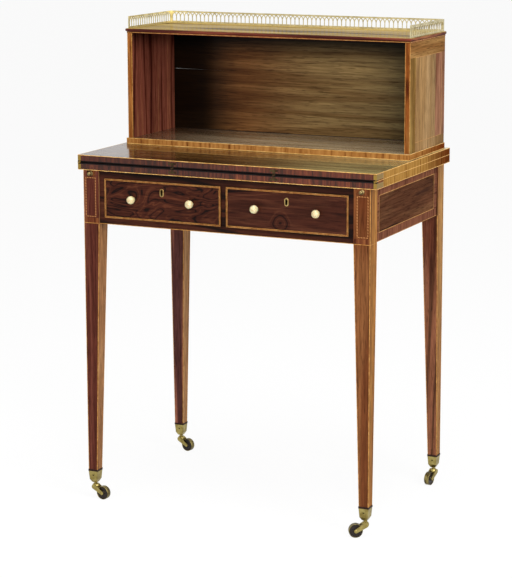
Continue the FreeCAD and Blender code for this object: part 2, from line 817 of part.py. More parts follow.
def drawer_back(side):
    """A drawer's back board, between its sides and on its bottom."""
    return block(f"drawer_back_{SIDE_NAMES[side]}",
                 sides(side, "drawer_inner + drawer_side_thick", "drawer_outer - drawer_side_thick"),
                 ("drawer_end - drawer_back_inset - drawer_back_thick", "drawer_end - drawer_back_inset"),
                 ("groove_high", "side_high"))


def lock_place(name, side, spare):
    """The block of a lock, or with some spare at the open faces the hollow that it is let into."""
    return block(name, about(f"{side} * drawer_middle", "lock_width / 2"),
                 ("drawer_front_back - lock_thick", f"drawer_front_back + {spare}"),
                 ("drawer_high - lock_height", f"drawer_high + {spare}"))


def lock_bolt(side):
    """The bolt of a drawer lock, thrown upwards into the top rail."""
    return block(f"lock_bolt_{SIDE_NAMES[side]}", about(f"{side} * drawer_middle", "bolt_width / 2"),
                 ("bolt_front", "bolt_front + bolt_thick"), ("bolt_top - bolt_length", "bolt_top"))


def lock(side):
    """A drawer lock: a brass case with a channel for its bolt and a slot for the key."""
    name = SIDE_NAMES[side]
    case = lock_place(f"lock_case_{name}", side, "0")
    channel = block(f"bolt_channel_{name}", about(f"{side} * drawer_middle", "bolt_width / 2 + bolt_gap"),
                    ("bolt_front - bolt_gap", "bolt_front + bolt_thick + bolt_gap"),
                    ("bolt_top - bolt_length - bolt_gap", "drawer_high + tool_spare"))
    slot = block(f"key_slot_{name}", about(f"{side} * drawer_middle", "keyhole_width / 2"),
                 ("drawer_front_back - lock_thick - tool_spare", "bolt_front"),
                 about("keyhole_height", "keyhole_length / 2"))
    return cut(f"lock_{name}", case, channel, slot)


def drawer_front(side, boards, knobs, ring):
    """A drawer front, cut for the side boards' dovetails, the bottom, the knobs, the key and the lock."""
    name = SIDE_NAMES[side]
    board = block(f"front_board_{name}", sides(side, "drawer_inner", "drawer_outer"),
                  ("drawer_face", "drawer_front_back"), ("drawer_low", "drawer_high"))
    groove = drawer_bottom(side, f"front_groove_{name}")
    hollow = lock_place(f"lock_hollow_{name}", side, "tool_spare")
    return cut(f"drawer_front_{name}", board, boards, groove, hollow, knobs, ring,
               keyhole(f"front_keyhole_{name}", side))


# ---- writing top -----------------------------------------------------------------------------------------

def leaf_board(name, low, high, meeting):
    """A leaf of the flap's depth, its outer edges rounded at the height where the two leaves meet."""
    body = padded(name, "XY_Plane", [
        ("-half_top", "front"),
        ("half_top", "front"),
        ("half_top", back_from_front("flap_depth")),
        ("-half_top", back_from_front("flap_depth")),
    ], f"{high} - {low}")
    place(body, "0", "0", low)
    level = number(f"{meeting} - {low}")
    round_over(body, "arris_radius", "flap_depth", lambda box: abs(box.ZMin - level) < NEAR)
    return body


def round_over(body, radius, back, wanted):
    """Round the level edges of a board's front and ends, of those that are wanted."""
    doc.recompute()
    base = body.Tip
    behind = number(back_from_front(back))
    edges = []
    for count, edge in enumerate(base.Shape.Edges, start=1):
        box = edge.BoundBox
        if box.ZLength < NEAR and box.YMin < behind - NEAR and wanted(box):
            edges.append(f"Edge{count}")
    fillet = body.newObject("PartDesign::Fillet", body.Name + "_rounding")
    fillet.Base = (base, edges)
    bind(fillet, Radius=radius)
    body.Tip = fillet


def lining(name, low, high):
    """The leather let into one leaf, flush with its inner face."""
    return block(name, ("-half_top + lining_border", "half_top - lining_border"),
                 ("lining_border", "flap_depth - lining_border"), (low, high))


def from_axis(up, near, far):
    """The Z span between two distances above the hinge axis, or below it."""
    return (f"hinge_height + {near}", f"hinge_height + {far}") if up else (
        f"hinge_height - ({far})", f"hinge_height - ({near})")


def hinge_leaf(name, up, knuckle, shapes):
    """One half of a hinge: its plate, a neck from the plate, and its knuckle."""
    start, stop = knuckle
    barrel = rod(f"knuckle_{name}", PEG_FLATS, "barrel_radius", "barrel_length", start,
                 back_from_front("hinge_axis_y"), "hinge_height", TO_RIGHT)
    neck = block(f"neck_{name}", (start, stop), ("0", "plate_thick"), from_axis(up, "0", "plate_near"))
    return joined(f"hinge_{name}", *shapes, neck, barrel)


def corner_plate(name, side, up):
    """An L-shaped plate round a corner of a leaf: a short leg in front and a long one on the side."""
    height = from_axis(up, "plate_near", "plate_near + plate_height")
    front_leg = block(f"front_leg_{name}", sides(side, "half_top - corner_plate_front", "half_top"),
                      ("0", "plate_thick"), height)
    side_leg = block(f"side_leg_{name}", sides(side, "half_top - plate_thick", "half_top"),
                     ("0", "corner_plate_length"), height)
    return [front_leg, side_leg]


def front_plate(name, side, up):
    """A T-shaped plate in the front edge of a leaf."""
    middle = f"{side} * front_plate_spread / 2"
    stem = block(f"stem_{name}", about(middle, "front_plate_stem / 2"), ("0", "plate_thick"),
                 from_axis(up, "plate_near", "plate_near + front_plate_height"))
    bar = block(f"bar_{name}", about(middle, "front_plate_width / 2"), ("0", "plate_thick"),
                from_axis(up, "plate_near + front_plate_height - front_plate_bar",
                          "plate_near + front_plate_height"))
    return [stem, bar]


def hinge_plates(up):
    """The four upper or lower halves of the flap's hinges."""
    level = "upper" if up else "lower"
    halves = []
    for side in (LEFT, RIGHT):
        for kind, plate in (("corner", corner_plate), ("front", front_plate)):
            name = f"{level}_{kind}_{SIDE_NAMES[side]}"
            if kind == "corner":
                first = sides(side, "half_top - 2 * knuckle_step", "half_top")[0]
            else:
                first = f"{side} * front_plate_spread / 2 - knuckle_step"
            start = f"{first} + barrel_gap / 2" + (" + knuckle_step" if up else "")
            half = hinge_leaf(name, up, (start, f"{start} + barrel_length"), plate(name, side, up))
            reach = "2 * knuckle_step - barrel_gap"
            origin = (f"{first} + barrel_gap / 2", back_from_front("hinge_axis_y"), "hinge_height",
                      TO_RIGHT)
            if up:
                hole = bore(f"pin_bore_{name}", PEG_FLATS, "hinge_pin_radius + fit_gap", reach, *origin)
                halves.append(cut(f"half_{name}", half, hole))
            else:
                pin = rod(f"pin_{name}", PEG_FLATS, "hinge_pin_radius", reach, *origin)
                halves.append(joined(f"half_{name}", half, pin))
    return group(f"hinge_plates_{level}", *halves)


def dowel(name, side, depth):
    """A dowel that stands half in the platform and half in the plinth."""
    return rod(name, PEG_FLATS, "dowel_radius", "dowel_length", f"{side} * (stage_outer - dowel_inset)",
               back_from_front(depth), "top_height - dowel_length / 2")


def dowels():
    """The four dowels that locate the upper stage on the platform."""
    depths = {"front": "plinth_front + dowel_inset", "back": "plinth_back - dowel_inset"}
    return group("stage_dowels", *[
        dowel(f"dowel_{SIDE_NAMES[side]}_{end}", side, depth)
        for side in (LEFT, RIGHT)
        for end, depth in depths.items()
    ])


# ---- upper stage -----------------------------------------------------------------------------------------

def stage_side(side):
    """An upright side of the upper stage."""
    return block(f"side_{SIDE_NAMES[side]}", sides(side, "side_inner", "side_outer"),
                 ("side_front", "plinth_back"), ("plinth_top", "stage_top"))


def back_boards():
    """Three horizontal boards between the sides; the top one has shrunk away at its left end."""
    across = ("-side_inner", "side_inner")
    depth = ("back_face", "plinth_back")
    lower = block("back_board_lower", across, depth, ("plinth_top", "upper_board_low - middle_board"))
    middle = block("back_board_middle", across, depth,
                   ("upper_board_low - middle_board", "upper_board_low"))
    upper = padded("back_board_upper", "XZ_Plane", [
        ("-side_inner", "crack_width"),
        ("-side_inner + crack_length", "0"),
        ("side_inner", "0"),
        ("side_inner", "upper_board"),
        ("-side_inner", "upper_board"),
    ], "back_thick")
    place(upper, "0", back_from_front("plinth_back"), "upper_board_low")
    return group("back_boards", lower, middle, upper)


def top_board():
    """The board that the gallery stands on, with a rounded nosing over a narrow bed mould."""
    bed = block("cornice_bed_mould", ("-side_outer - cornice_bed_step", "side_outer + cornice_bed_step"),
                ("side_front - cornice_bed_step", "plinth_back"), ("stage_top", "cornice_low"))
    body = padded("cornice_board", "XY_Plane", [
        ("-cornice_outer", back_from_front("cornice_front")),
        ("cornice_outer", back_from_front("cornice_front")),
        ("cornice_outer", back_from_front("plinth_back")),
        ("-cornice_outer", back_from_front("plinth_back")),
    ], "cornice_thick")
    place(body, "0", "0", "cornice_low")
    round_over(body, "cornice_nose", "plinth_back", lambda box: True)
    return joined("top_board", bed, body)


# ---- gallery ---------------------------------------------------------------------------------------------

def arch(centre, spring, radius, start, stop):
    """Points in equal steps along an arch about a point on the springing line, between two angles."""
    points = []
    for step in range(ARCH_STEPS + 1):
        angle = f"({start} + ({stop} - {start}) * {step} / {ARCH_STEPS})"
        points.append((f"{centre} + {radius} * cos{angle}", f"{spring} + {radius} * sin{angle}"))
    return points


def pierced_strip(name, bays_span, bays):
    """A brass strip pierced into interlaced round arches: each springs from one bar and spans two bays.

    The arches are drawn by what is cut away between them: a lancet in each bay, where two arches cross,
    and a shield over each bar, under the crown of the arch that is centred on it.
    """
    body = padded(name, "XZ_Plane", [
        ("0", "0"),
        (f"{bays_span} + 2 * gallery_end", "0"),
        (f"{bays_span} + 2 * gallery_end", "gallery_height"),
        ("0", "gallery_height"),
    ], "gallery_thick", middle=True)
    pitch = f"({bays_span} / {bays})"
    inner = f"({pitch} - bar_half)"
    outer = f"({pitch} + bar_half)"
    spring = f"gallery_height - gallery_rail - {pitch}"
    left, middle, right = "gallery_end", f"gallery_end + {pitch}", f"gallery_end + 2 * {pitch}"
    crossing = f"acos({pitch} / 2 / {inner})"
    lancet = [("gallery_end + bar_half", "gallery_base"), (f"gallery_end + {inner}", "gallery_base")]
    lancet += arch(left, spring, inner, "0 deg", crossing)
    lancet += arch(middle, spring, inner, f"(180 deg - {crossing})", "180 deg")[1:]
    foot = f"acos({pitch} / {outer})"
    shoulder = f"acos(({pitch} / 2 + bar_width) / {outer})"
    crown = f"acos(({pitch} / 2 - bar_width) / {inner})"
    shield = arch(right, spring, outer, f"(180 deg - {foot})", f"(180 deg - {shoulder})")
    shield += arch(middle, spring, inner, crown, f"(180 deg - {crown})")[1:]
    shield += arch(left, spring, outer, shoulder, foot)[1:-1]
    for kind, outline, count in (("lancet", lancet, bays), ("shield", shield, f"{bays} - 1")):
        hole = pocket(body, f"{name}_{kind}", outline)
        pattern(body, hole, "Linear", (hole.Profile[0], ["H_Axis"]), Length=f"{pitch} * ({count} - 1)",
                Occurrences=count)
    return body


def gallery():
    """The pierced brass gallery round three sides of the top board."""
    back = pierced_strip("gallery_back", "back_bays_span", "back_bays")
    place(back, "-gallery_outer", back_from_front("gallery_back_face - gallery_thick / 2"), "cornice_top")
    strips = [back]
    for side in (LEFT, RIGHT):
        strip = pierced_strip(f"gallery_side_{SIDE_NAMES[side]}", "side_bays_span", "side_bays")
        strips.append(place(strip, f"{side} * (gallery_outer - gallery_thick / 2)",
                            back_from_front("gallery_front"), "cornice_top", turn="90"))
    return group("gallery", *strips)


# ---- casters ---------------------------------------------------------------------------------------------

def socket(corner, screw):
    """A square brass cup on a leg's end, drawn in below to a neck and bored for the swivel stem."""
    side, axis = CORNERS[corner]
    centre = (f"{side} * leg_axis", back_from_front(axis))
    cup = frustum(f"cup_{corner}", *centre, "waist_height", "wood_end", "socket_waist", "socket_mouth")
    shoulder = frustum(f"shoulder_{corner}", *centre, "socket_bottom", "waist_height", "socket_neck",
                       "socket_waist")
    hollow = block(f"cup_hollow_{corner}", *square_at(corner, "tenon_size"),
                   ("pocket_low", "wood_end + tool_spare"))
    hole = bore(f"stem_bore_{corner}", STEM_FLATS, "stem_radius + fit_gap", "socket_floor + 2 * tool_spare",
                *centre, "socket_bottom - tool_spare")
    return cut(f"socket_{corner}", joined(f"socket_blank_{corner}", cup, shoulder), hollow, hole, screw)


def fork_arms(corner):
    """The two raked arms of a fork as one bar, its lower end rounded in flats about the axle."""
    def beside(along, across):
        """A point beside the axle, by shares of an arm's half width along the arm and across it."""
        return (f"caster_trail + {along} * arm_end_x + {across} * arm_side_x",
                f"wheel_radius + {along} * arm_end_z + {across} * arm_side_z")
    half = math.sqrt(0.5)
    return padded(f"arms_{corner}", "XZ_Plane", [
        ("-arm_side_x", "arm_head - arm_side_z"),
        beside(0, -1),
        beside(half, -half),
        beside(1, 0),
        beside(half, half),
        beside(0, 1),
        ("arm_side_x", "arm_head + arm_side_z"),
    ], "fork_width", middle=True)


def fork(corner):
    """A caster's swivel fork with its riveted stem and the axle that is riveted in its arms."""
    side, axis = CORNERS[corner]
    blank = joined(
        f"fork_blank_{corner}",
        rod(f"stem_head_{corner}", PEG_FLATS, "stem_head_radius", "stem_head_thick", "0", "0",
            "stem_head_low"),
        rod(f"fork_neck_{corner}", PEG_FLATS, "neck_radius", "neck_height", "0", "0", "yoke_high"),
        rod(f"yoke_{corner}", PEG_FLATS, "yoke_radius", "yoke_high - yoke_low", "0", "0", "yoke_low"),
        rod(f"stem_{corner}", STEM_FLATS, "stem_radius", "stem_head_low - yoke_high", "0", "0", "yoke_high"),
        fork_arms(corner),
    )
    room = bore(f"wheel_room_{corner}", ROOM_FLATS, "wheel_radius + wheel_room", "wheel_space",
                "caster_trail", "-wheel_space / 2", "wheel_radius", TO_BACK)
    axle = rod(f"axle_{corner}", STEM_FLATS, "axle_radius", "fork_width", "caster_trail", "-fork_width / 2",
               "wheel_radius", TO_BACK)
    heads = [
        rod(f"axle_head_{corner}_{end}", PEG_FLATS, "axle_head_radius", "axle_head", "caster_trail", start,
            "wheel_radius", TO_BACK)
        for end, start in (("near", "-fork_width / 2 - axle_head"), ("far", "fork_width / 2"))
    ]
    frame = joined(f"fork_frame_{corner}", cut(f"fork_cut_{corner}", blank, room), axle, *heads)
    item = group(f"caster_fork_{corner}", frame)
    return place(item, f"{side} * leg_axis", back_from_front(axis), "0", turn=f"swivel_{corner}")


def wheel(corner):
    """A caster wheel, bored for its axle."""
    side, axis = CORNERS[corner]
    disc = rod(f"wheel_disc_{corner}", WHEEL_FLATS, "wheel_radius", "wheel_width", "0", "-wheel_width / 2",
               "0", TO_BACK)
    hole = bore(f"wheel_bore_{corner}", STEM_FLATS, "axle_radius + fit_gap", "wheel_width + 2 * tool_spare",
                "0", "-wheel_width / 2 - tool_spare", "0", TO_BACK)
    item = group(f"caster_wheel_{corner}", cut(f"wheel_turned_{corner}", disc, hole))
    turn = f"swivel_{corner}"
    return place(item, f"{side} * leg_axis + caster_trail * cos({turn})",
                 back_from_front(f"{axis} + caster_trail * sin({turn})"), "wheel_radius", turn=turn)


# ---- assembly --------------------------------------------------------------------------------------------

def carcass():
    """The legs with their casters' sockets, the frieze, and what carries the drawers and the lopers."""
    screws = {corner: socket_screw(corner) for corner in CORNERS}
    return [
        *[leg(corner, screws[corner]) for corner in CORNERS],
        collars(),
        group("caster_sockets", *[socket(corner, screws[corner]) for corner in CORNERS]),
        group("socket_screws", *screws.values()),
        side_apron(LEFT),
        side_apron(RIGHT),
        back_apron(),
        top_rail(),
        bottom_rail(),
        group("frieze_stiles", stile(LEFT), stile(RIGHT)),
        partition(),
        runners(),
        kickers(),
        drawer_stops(),
        loper_guides(),
    ]


def writing_top():
    """The fixed leaf, the platform on it behind the flap, the flap, their linings and their hinges."""
    lower_plates = hinge_plates(up=False)
    upper_plates = hinge_plates(up=True)
    fixed_lining = lining("fixed_leaf_lining", "fixed_top - lining_thick", "fixed_top")
    flap_lining = lining("flap_lining", "flap_under", "flap_under + lining_thick")
    fixed_rear = block("fixed_leaf_rear", ("-half_top", "half_top"), ("flap_depth", "top_depth"),
                       ("carcass_top", "fixed_top"))
    fixed = joined("fixed_board", leaf_board("fixed_leaf_front", "carcass_top", "fixed_top", "fixed_top"),
                   fixed_rear)
    flap = leaf_board("flap_board", "flap_under", "top_height", "flap_under")
    return [
        cut("fixed_leaf", fixed, fixed_lining, lower_plates),
        fixed_lining,
        cut("flap_leaf", flap, flap_lining, upper_plates),
        flap_lining,
        lower_plates,
        upper_plates,
    ]


def upper_stage():
    """The platform behind the flap and the open stage that is dowelled to it."""
    pegs = dowels()
    platform = block("platform_board", ("-half_top", "half_top"), ("flap_depth + seam_gap", "top_depth"),
                     ("fixed_top", "top_height"))
    plinth = block("plinth_board", ("-stage_outer", "stage_outer"), ("plinth_front", "plinth_back"),
                   ("top_height", "plinth_top"))
    return [
        cut("platform", platform, pegs),
        cut("plinth", plinth, pegs),
        pegs,
        stage_side(LEFT),
        stage_side(RIGHT),
        back_boards(),
        top_board(),
        gallery(),
    ]


def drawer(side):
    """One drawer with its knobs, its escutcheon and its lock."""
    name = SIDE_NAMES[side]
    knobs = drawer_knobs(side)
    ring = escutcheon(side)
    boards = group(f"drawer_sides_{name}", drawer_side(side, LEFT), drawer_side(side, RIGHT))
    return [
        drawer_front(side, boards, knobs, ring),
        boards,
        drawer_back(side),
        drawer_bottom(side, f"drawer_bottom_{name}"),
        knobs,
        ring,
        lock(side),
        lock_bolt(side),
    ]


def loper_with_knob(side):
    """One loper and its knob."""
    pull = loper_knob(side)
    return [loper(side, pull), pull]


def check_and_export(nodes):
    """Stop if anything failed; otherwise write each node's solids to a file of its own name."""
    doc.recompute()
    for item in doc.Objects:
        if {"Invalid", "Error"} & set(item.State):
            raise RuntimeError(f"{item.Label} failed: {item.State}")
    for node in nodes:
        if node.Shape.isNull() or not node.Shape.isValid() or not node.Shape.Solids:
            raise RuntimeError(f"{node.Label} has no valid solid")
    os.makedirs("parts", exist_ok=True)
    for node in nodes:
        node.Shape.exportStep(f"parts/{node.Label}.step")
        print(f"{node.Label}: {len(node.Shape.Solids)} solids, {node.Shape.Volume / 1000:.2f} cm3")


check_and_export([
    *carcass(),
    *writing_top(),
    *upper_stage(),
    *[node for side in (LEFT, RIGHT) for node in loper_with_knob(side)],
    *[node for side in (LEFT, RIGHT) for node in drawer(side)],
    *[fork(corner) for corner in CORNERS],
    *[wheel(corner) for corner in CORNERS],
])
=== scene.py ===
import bmesh
import bpy
import json
import math
from mathutils import Matrix, Vector


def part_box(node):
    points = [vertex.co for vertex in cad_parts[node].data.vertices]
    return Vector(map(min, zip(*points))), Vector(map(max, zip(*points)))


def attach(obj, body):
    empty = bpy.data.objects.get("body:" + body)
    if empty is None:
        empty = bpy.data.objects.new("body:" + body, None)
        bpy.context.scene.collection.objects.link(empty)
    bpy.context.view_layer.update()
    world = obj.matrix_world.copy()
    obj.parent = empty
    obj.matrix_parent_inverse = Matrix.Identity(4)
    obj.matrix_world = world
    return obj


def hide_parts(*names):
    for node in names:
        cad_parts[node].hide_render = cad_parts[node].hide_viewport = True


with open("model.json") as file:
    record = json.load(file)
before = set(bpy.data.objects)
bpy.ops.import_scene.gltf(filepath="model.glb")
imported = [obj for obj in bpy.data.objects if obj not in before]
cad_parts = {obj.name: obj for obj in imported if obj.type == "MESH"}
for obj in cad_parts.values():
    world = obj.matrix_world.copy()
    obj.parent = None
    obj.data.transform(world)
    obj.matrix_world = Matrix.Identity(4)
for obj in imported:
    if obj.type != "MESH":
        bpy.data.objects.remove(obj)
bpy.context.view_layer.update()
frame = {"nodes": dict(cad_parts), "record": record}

# ---- Legs
# Four square legs of solid rosewood, tapered on their two inner faces from 36 mm to 21 mm. A line of boxwood
# is let into every arris, and the heads of the front legs carry a panel of roped stringing.

mm = 0.001
nodes = frame["nodes"]
ACROSS, DEEP, UP = 0, 1, 2
LEFT, RIGHT = -1, 1
corners = ("front_left", "front_right", "back_left", "back_right")

# Two ways to lay one colour over another, each with the output that holds the colour: a stain darkens what
# is under it, and a paint hides it.
stain = dict(data_type="RGBA", blend_type="MULTIPLY", out=2)
paint = dict(data_type="RGBA", blend_type="MIX", out=2)


def linear(tone):
    """An sRGB hex colour as the linear colour that a shader takes."""
    channels = [int(tone[start:start + 2], 16) / 255 for start in (1, 3, 5)]
    return [c / 12.92 if c <= 0.04045 else ((c + 0.055) / 1.055) ** 2.4 for c in channels] + [1]


def add(tree, kind, links=None, stops=(), out=0, **settings):
    """Add a node with its settings and links, and give back one of its outputs.

    Each link is a value, or a socket to take the value from. The stops of a ramp are places from 0 to 1,
    each with a hex colour.
    """
    item = tree.nodes.new("ShaderNode" + kind)
    for name, value in settings.items():
        setattr(item, name, value)
    for name, value in (links or {}).items():
        if isinstance(value, bpy.types.NodeSocket):
            tree.links.new(value, item.inputs[name])
        else:
            item.inputs[name].default_value = value
    if stops:
        elements = item.color_ramp.elements
        while len(elements) < len(stops):
            elements.new(0.5)
        for element, (place, tone) in zip(elements, stops):
            element.position = place
            element.color = linear(tone)
    return item.outputs[out] if item.outputs else None


def drawn_out(grain, length):
    """The scales in X, Y and Z that draw a pattern out along the grain, to 1 / length of its size."""
    return [length if axis == grain else 1 for axis in (ACROSS, DEEP, UP)]


def open_material(name):
    """A bare material, its node tree, and the place of a point on the object."""
    material = bpy.data.materials.new(name)
    material.use_nodes = True
    material.node_tree.nodes.clear()
    return material, material.node_tree, add(material.node_tree, "TexCoord", out="Object")


def close_material(tree, colour, roughness, height, depth, **fixed):
    """Give the material its shader, with a bump of some depth; fixed holds plain numbers."""
    bump = add(tree, "Bump", {"Height": height, "Distance": depth})
    numbers = {name.replace("_", " "): value for name, value in fixed.items()}
    shader = add(tree, "BsdfPrincipled", {"Base Color": colour, "Roughness": roughness, "Normal": bump,
                                          **numbers})
    add(tree, "OutputMaterial", {"Surface": shader})


def darken_towards(tree, place, colour, darkening):
    """Darken a colour towards an end; in some places this is painted shade.

    Each darkening is (axis, dark end, clear end, tone at the dark end).
    """
    for axis, dark_end, clear_end, tone in darkening:
        along = add(tree, "SeparateXYZ", {"Vector": place}, out=axis)
        clear = add(tree, "MapRange", {"Value": along, "From Min": dark_end, "From Max": clear_end},
                    interpolation_type="SMOOTHSTEP")
        wash = add(tree, "ValToRGB", {"Fac": clear}, [(0, tone), (1, "#ffffff")])
        colour = add(tree, "Mix", {0: 1.0, 6: colour, 7: wash}, **stain)
    return colour


def figure(tree, place, grain, tones, shift=(0, 0, 0), rings=9, swirl=0.3, length=0.1, knot=None, darkening=()):
    """Rosewood's figure: its colour, and its open pores.

    tones run from the black veins to the palest wood. The veins are the contour lines of a noise with waves
    67 mm wide, so they close into flames where it peaks, and 9 rings set them about 7 mm apart. knot is
    (place, reach): the veins bend round that place.
    """
    board = add(tree, "Mapping", {"Vector": place, "Location": shift, "Scale": drawn_out(grain, length)})
    slow = add(tree, "TexNoise", {"Vector": board, "Scale": 15, "Detail": 2.5, "Distortion": swirl})
    if knot:
        middle, reach = knot
        away = add(tree, "VectorMath", {0: place, 1: middle}, operation="DISTANCE", out="Value")
        rise = add(tree, "MapRange", {"Value": away, "From Max": reach, "To Min": 0.3, "To Max": 0.0},
                   interpolation_type="SMOOTHSTEP")
        slow = add(tree, "Math", {0: slow, 1: rise}, operation="ADD")
    lines = add(tree, "Math", {0: slow, 1: rings}, operation="MULTIPLY")
    lines = add(tree, "Math", {0: lines, 1: 1.0}, operation="PINGPONG")
    vein, wood, pale = tones
    stops = [(0, vein), (0.1, vein), (0.3, wood), (0.75, wood), (1, pale)]
    colour = add(tree, "ValToRGB", {"Fac": lines}, stops)

    # Cloudy patches a hand wide, where the wood has kept or lost its colour.
    broad = add(tree, "TexNoise", {"Vector": board, "Scale": 6, "Detail": 1})
    cloud = add(tree, "ValToRGB", {"Fac": broad}, [(0.35, "#b4b0ae"), (0.65, "#ffffff")])
    colour = add(tree, "Mix", {0: 1.0, 6: colour, 7: cloud}, **stain)

    # Fibres about 2 mm wide and pores 0.6 mm wide, both long and thin along the grain.
    fibres = add(tree, "Mapping", {"Vector": place, "Location": shift, "Scale": drawn_out(grain, 0.04)})
    fibre = add(tree, "TexNoise", {"Vector": fibres, "Scale": 260, "Detail": 3, "Roughness": 0.6})
    streaks = add(tree, "ValToRGB", {"Fac": fibre}, [(0.3, "#a39a96"), (0.7, "#ffffff")])
    colour = add(tree, "Mix", {0: 0.85, 6: colour, 7: streaks}, **stain)
    pore = add(tree, "TexNoise", {"Vector": fibres, "Scale": 900, "Detail": 1})
    holes = add(tree, "ValToRGB", {"Fac": pore}, [(0.32, "#5c4f4a"), (0.42, "#ffffff")])
    colour = add(tree, "Mix", {0: 0.6, 6: colour, 7: holes}, **stain)
    return darken_towards(tree, place, colour, darkening), holes


def rosewood(name, look, faces=None, gloss=0.36, film=0.03, shine=0.05):
    """Rosewood under French polish: warm brown with black veins, and a film that mirrors the room softly.

    look holds the settings of its figure. faces gives others to the faces that look along an axis: its keys
    are (axis, side), and side 0 means both ways. film is how much polish still lies on the wood, and shine
    how much the wood under it mirrors.
    """
    material, tree, place = open_material(name)
    colour, holes = figure(tree, place, **look)
    normal = add(tree, "TexCoord", out="Normal")
    square_on, pore_dullness = 0.7, 0.2
    for (axis, side), other in (faces or {}).items():
        shade, pores = figure(tree, place, **other)
        toward = add(tree, "SeparateXYZ", {"Vector": normal}, out=axis)
        if side:
            toward = add(tree, "Math", {0: toward, 1: side}, operation="MULTIPLY")
        else:
            toward = add(tree, "Math", {0: toward}, operation="ABSOLUTE")
        share = add(tree, "Math", {0: toward, 1: square_on}, operation="GREATER_THAN")
        colour = add(tree, "Mix", {0: share, 6: colour, 7: shade}, **paint)
        holes = add(tree, "Mix", {0: share, 6: holes, 7: pores}, **paint)
    polish = add(tree, "MapRange", {"Value": holes, "To Min": gloss + pore_dullness, "To Max": gloss})
    close_material(tree, colour, polish, holes, 0.01 * mm, Coat_Weight=film, Coat_Roughness=0.06,
                   Specular_IOR_Level=shine)
    return material


def cover(material, *names):
    """Give CAD nodes one material all over."""
    for name in names:
        slots = nodes[name].data.materials
        slots.clear()
        slots.append(material)


def boxwood(name, tones):
    """Boxwood stringing: cream gone to honey under the polish, with soft clouds about 9 mm long."""
    material, tree, place = open_material(name)
    fleck = add(tree, "TexNoise", {"Vector": place, "Scale": 110, "Detail": 3})
    colour = add(tree, "ValToRGB", {"Fac": fleck}, list(zip((0.3, 0.5, 0.7), tones)))
    close_material(tree, colour, 0.34, fleck, 0.01 * mm, Specular_IOR_Level=0.03)
    return material


def roped(name):
    """Roped stringing: boxwood and dark holly laid aslant in turn, like the strands of a cord.

    A strand comes every 6 mm along it. Real ones are closer, but wouldn't show in the render.
    """
    material, tree, place = open_material(name)
    aslant = add(tree, "Mapping", {"Vector": place, "Rotation": (0, math.radians(45), 0)})
    strands = add(tree, "TexWave", {"Vector": aslant, "Scale": 75, "Distortion": 0.6, "Detail": 1,
                                    "Detail Scale": 2.0}, out="Fac")
    colour = add(tree, "ValToRGB", {"Fac": strands}, [(0.25, "#6a3c1e"), (0.5, "#a27244")])
    close_material(tree, colour, 0.34, strands, 0.02 * mm, Specular_IOR_Level=0.03)
    return material


def banding(name, grain, tones=("#3a1c0e", "#603822", "#7c5030"), darkening=()):
    """Cross-banding: veneer cut across its grain, so that dark streaks up to 8 mm wide cross the band."""
    material, tree, place = open_material(name)
    band = add(tree, "Mapping", {"Vector": place, "Scale": drawn_out(grain, 0.06)})
    streak = add(tree, "TexNoise", {"Vector": band, "Scale": 130, "Detail": 5, "Roughness": 0.68})
    colour = add(tree, "ValToRGB", {"Fac": streak}, list(zip((0.34, 0.46, 0.68), tones)))
    colour = darken_towards(tree, place, colour, darkening)
    close_material(tree, colour, 0.34, streak, 0.01 * mm, Specular_IOR_Level=0.0)
    return material


def strip(mesh, low, high, lean=(0, 0), kind=0):
    """Add a square strip between two corners; its top may lean aside in X and Y, as a tapered leg's does."""
    low, high = Vector(low), Vector(high)
    size = high - low
    place = Matrix.Translation((low + high) / 2) @ Matrix.Diagonal((*size, 1))
    made = bmesh.ops.create_cube(mesh, size=1, matrix=place)["verts"]
    top = [vert for vert in made if vert.co.z > (low.z + high.z) / 2]
    bmesh.ops.translate(mesh, verts=top, vec=(*lean, 0))
    for surface in {surface for vert in made for surface in vert.link_faces}:
        surface.material_index = kind


def skin(face, out, depth=0.0):
    """The limits in X of a strip on a face at the left or right: how far it stands out, and reaches in."""
    side = LEFT if face < 0 else RIGHT
    return sorted((face - side * depth, face + side * out))


def settle(mesh, name, body, slot, *materials):
    """Turn a mesh into a named piece that rides on a body: smooth where it curves, crisp at its arrises."""
    bmesh.ops.delete(mesh, geom=[edge for edge in mesh.edges if not edge.link_faces], context="EDGES")
    bmesh.ops.recalc_face_normals(mesh, faces=mesh.faces)
    for surface in mesh.faces:
        surface.smooth = True
    for edge in mesh.edges:
        edge.smooth = edge.calc_face_angle(0) < math.radians(35)
    data = bpy.data.meshes.new(name)
    mesh.to_mesh(data)
    mesh.free()
    for material in materials:
        data.materials.append(material)
    piece = bpy.data.objects.new(name, data)
    bpy.context.scene.collection.objects.link(piece)
    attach(piece, body)
    return piece


# Each leg has its own tones: those of its front and back, and those of its sides. The sides are paler
# and more golden than the fronts, partly from fading and partly as painted light from the lamp at the
# right. The back legs' fronts have lighter tones too, as painted light to make up for the shade under the
# table.
leg_tones = {
    "front_left": (("#2c1410", "#623227", "#784435"), ("#6c4426", "#966a44", "#ac8056")),
    "front_right": (("#40200f", "#774426", "#8e5c36"), ("#845020", "#b97c36", "#cc9448")),
    "back_left": (("#583430", "#a06450", "#ae7862"), ("#8a5a34", "#bd8b5a", "#cea070")),
    "back_right": (("#6a4430", "#9e664a", "#ac785a"), ("#7c4c20", "#ae783c", "#c49250")),
}
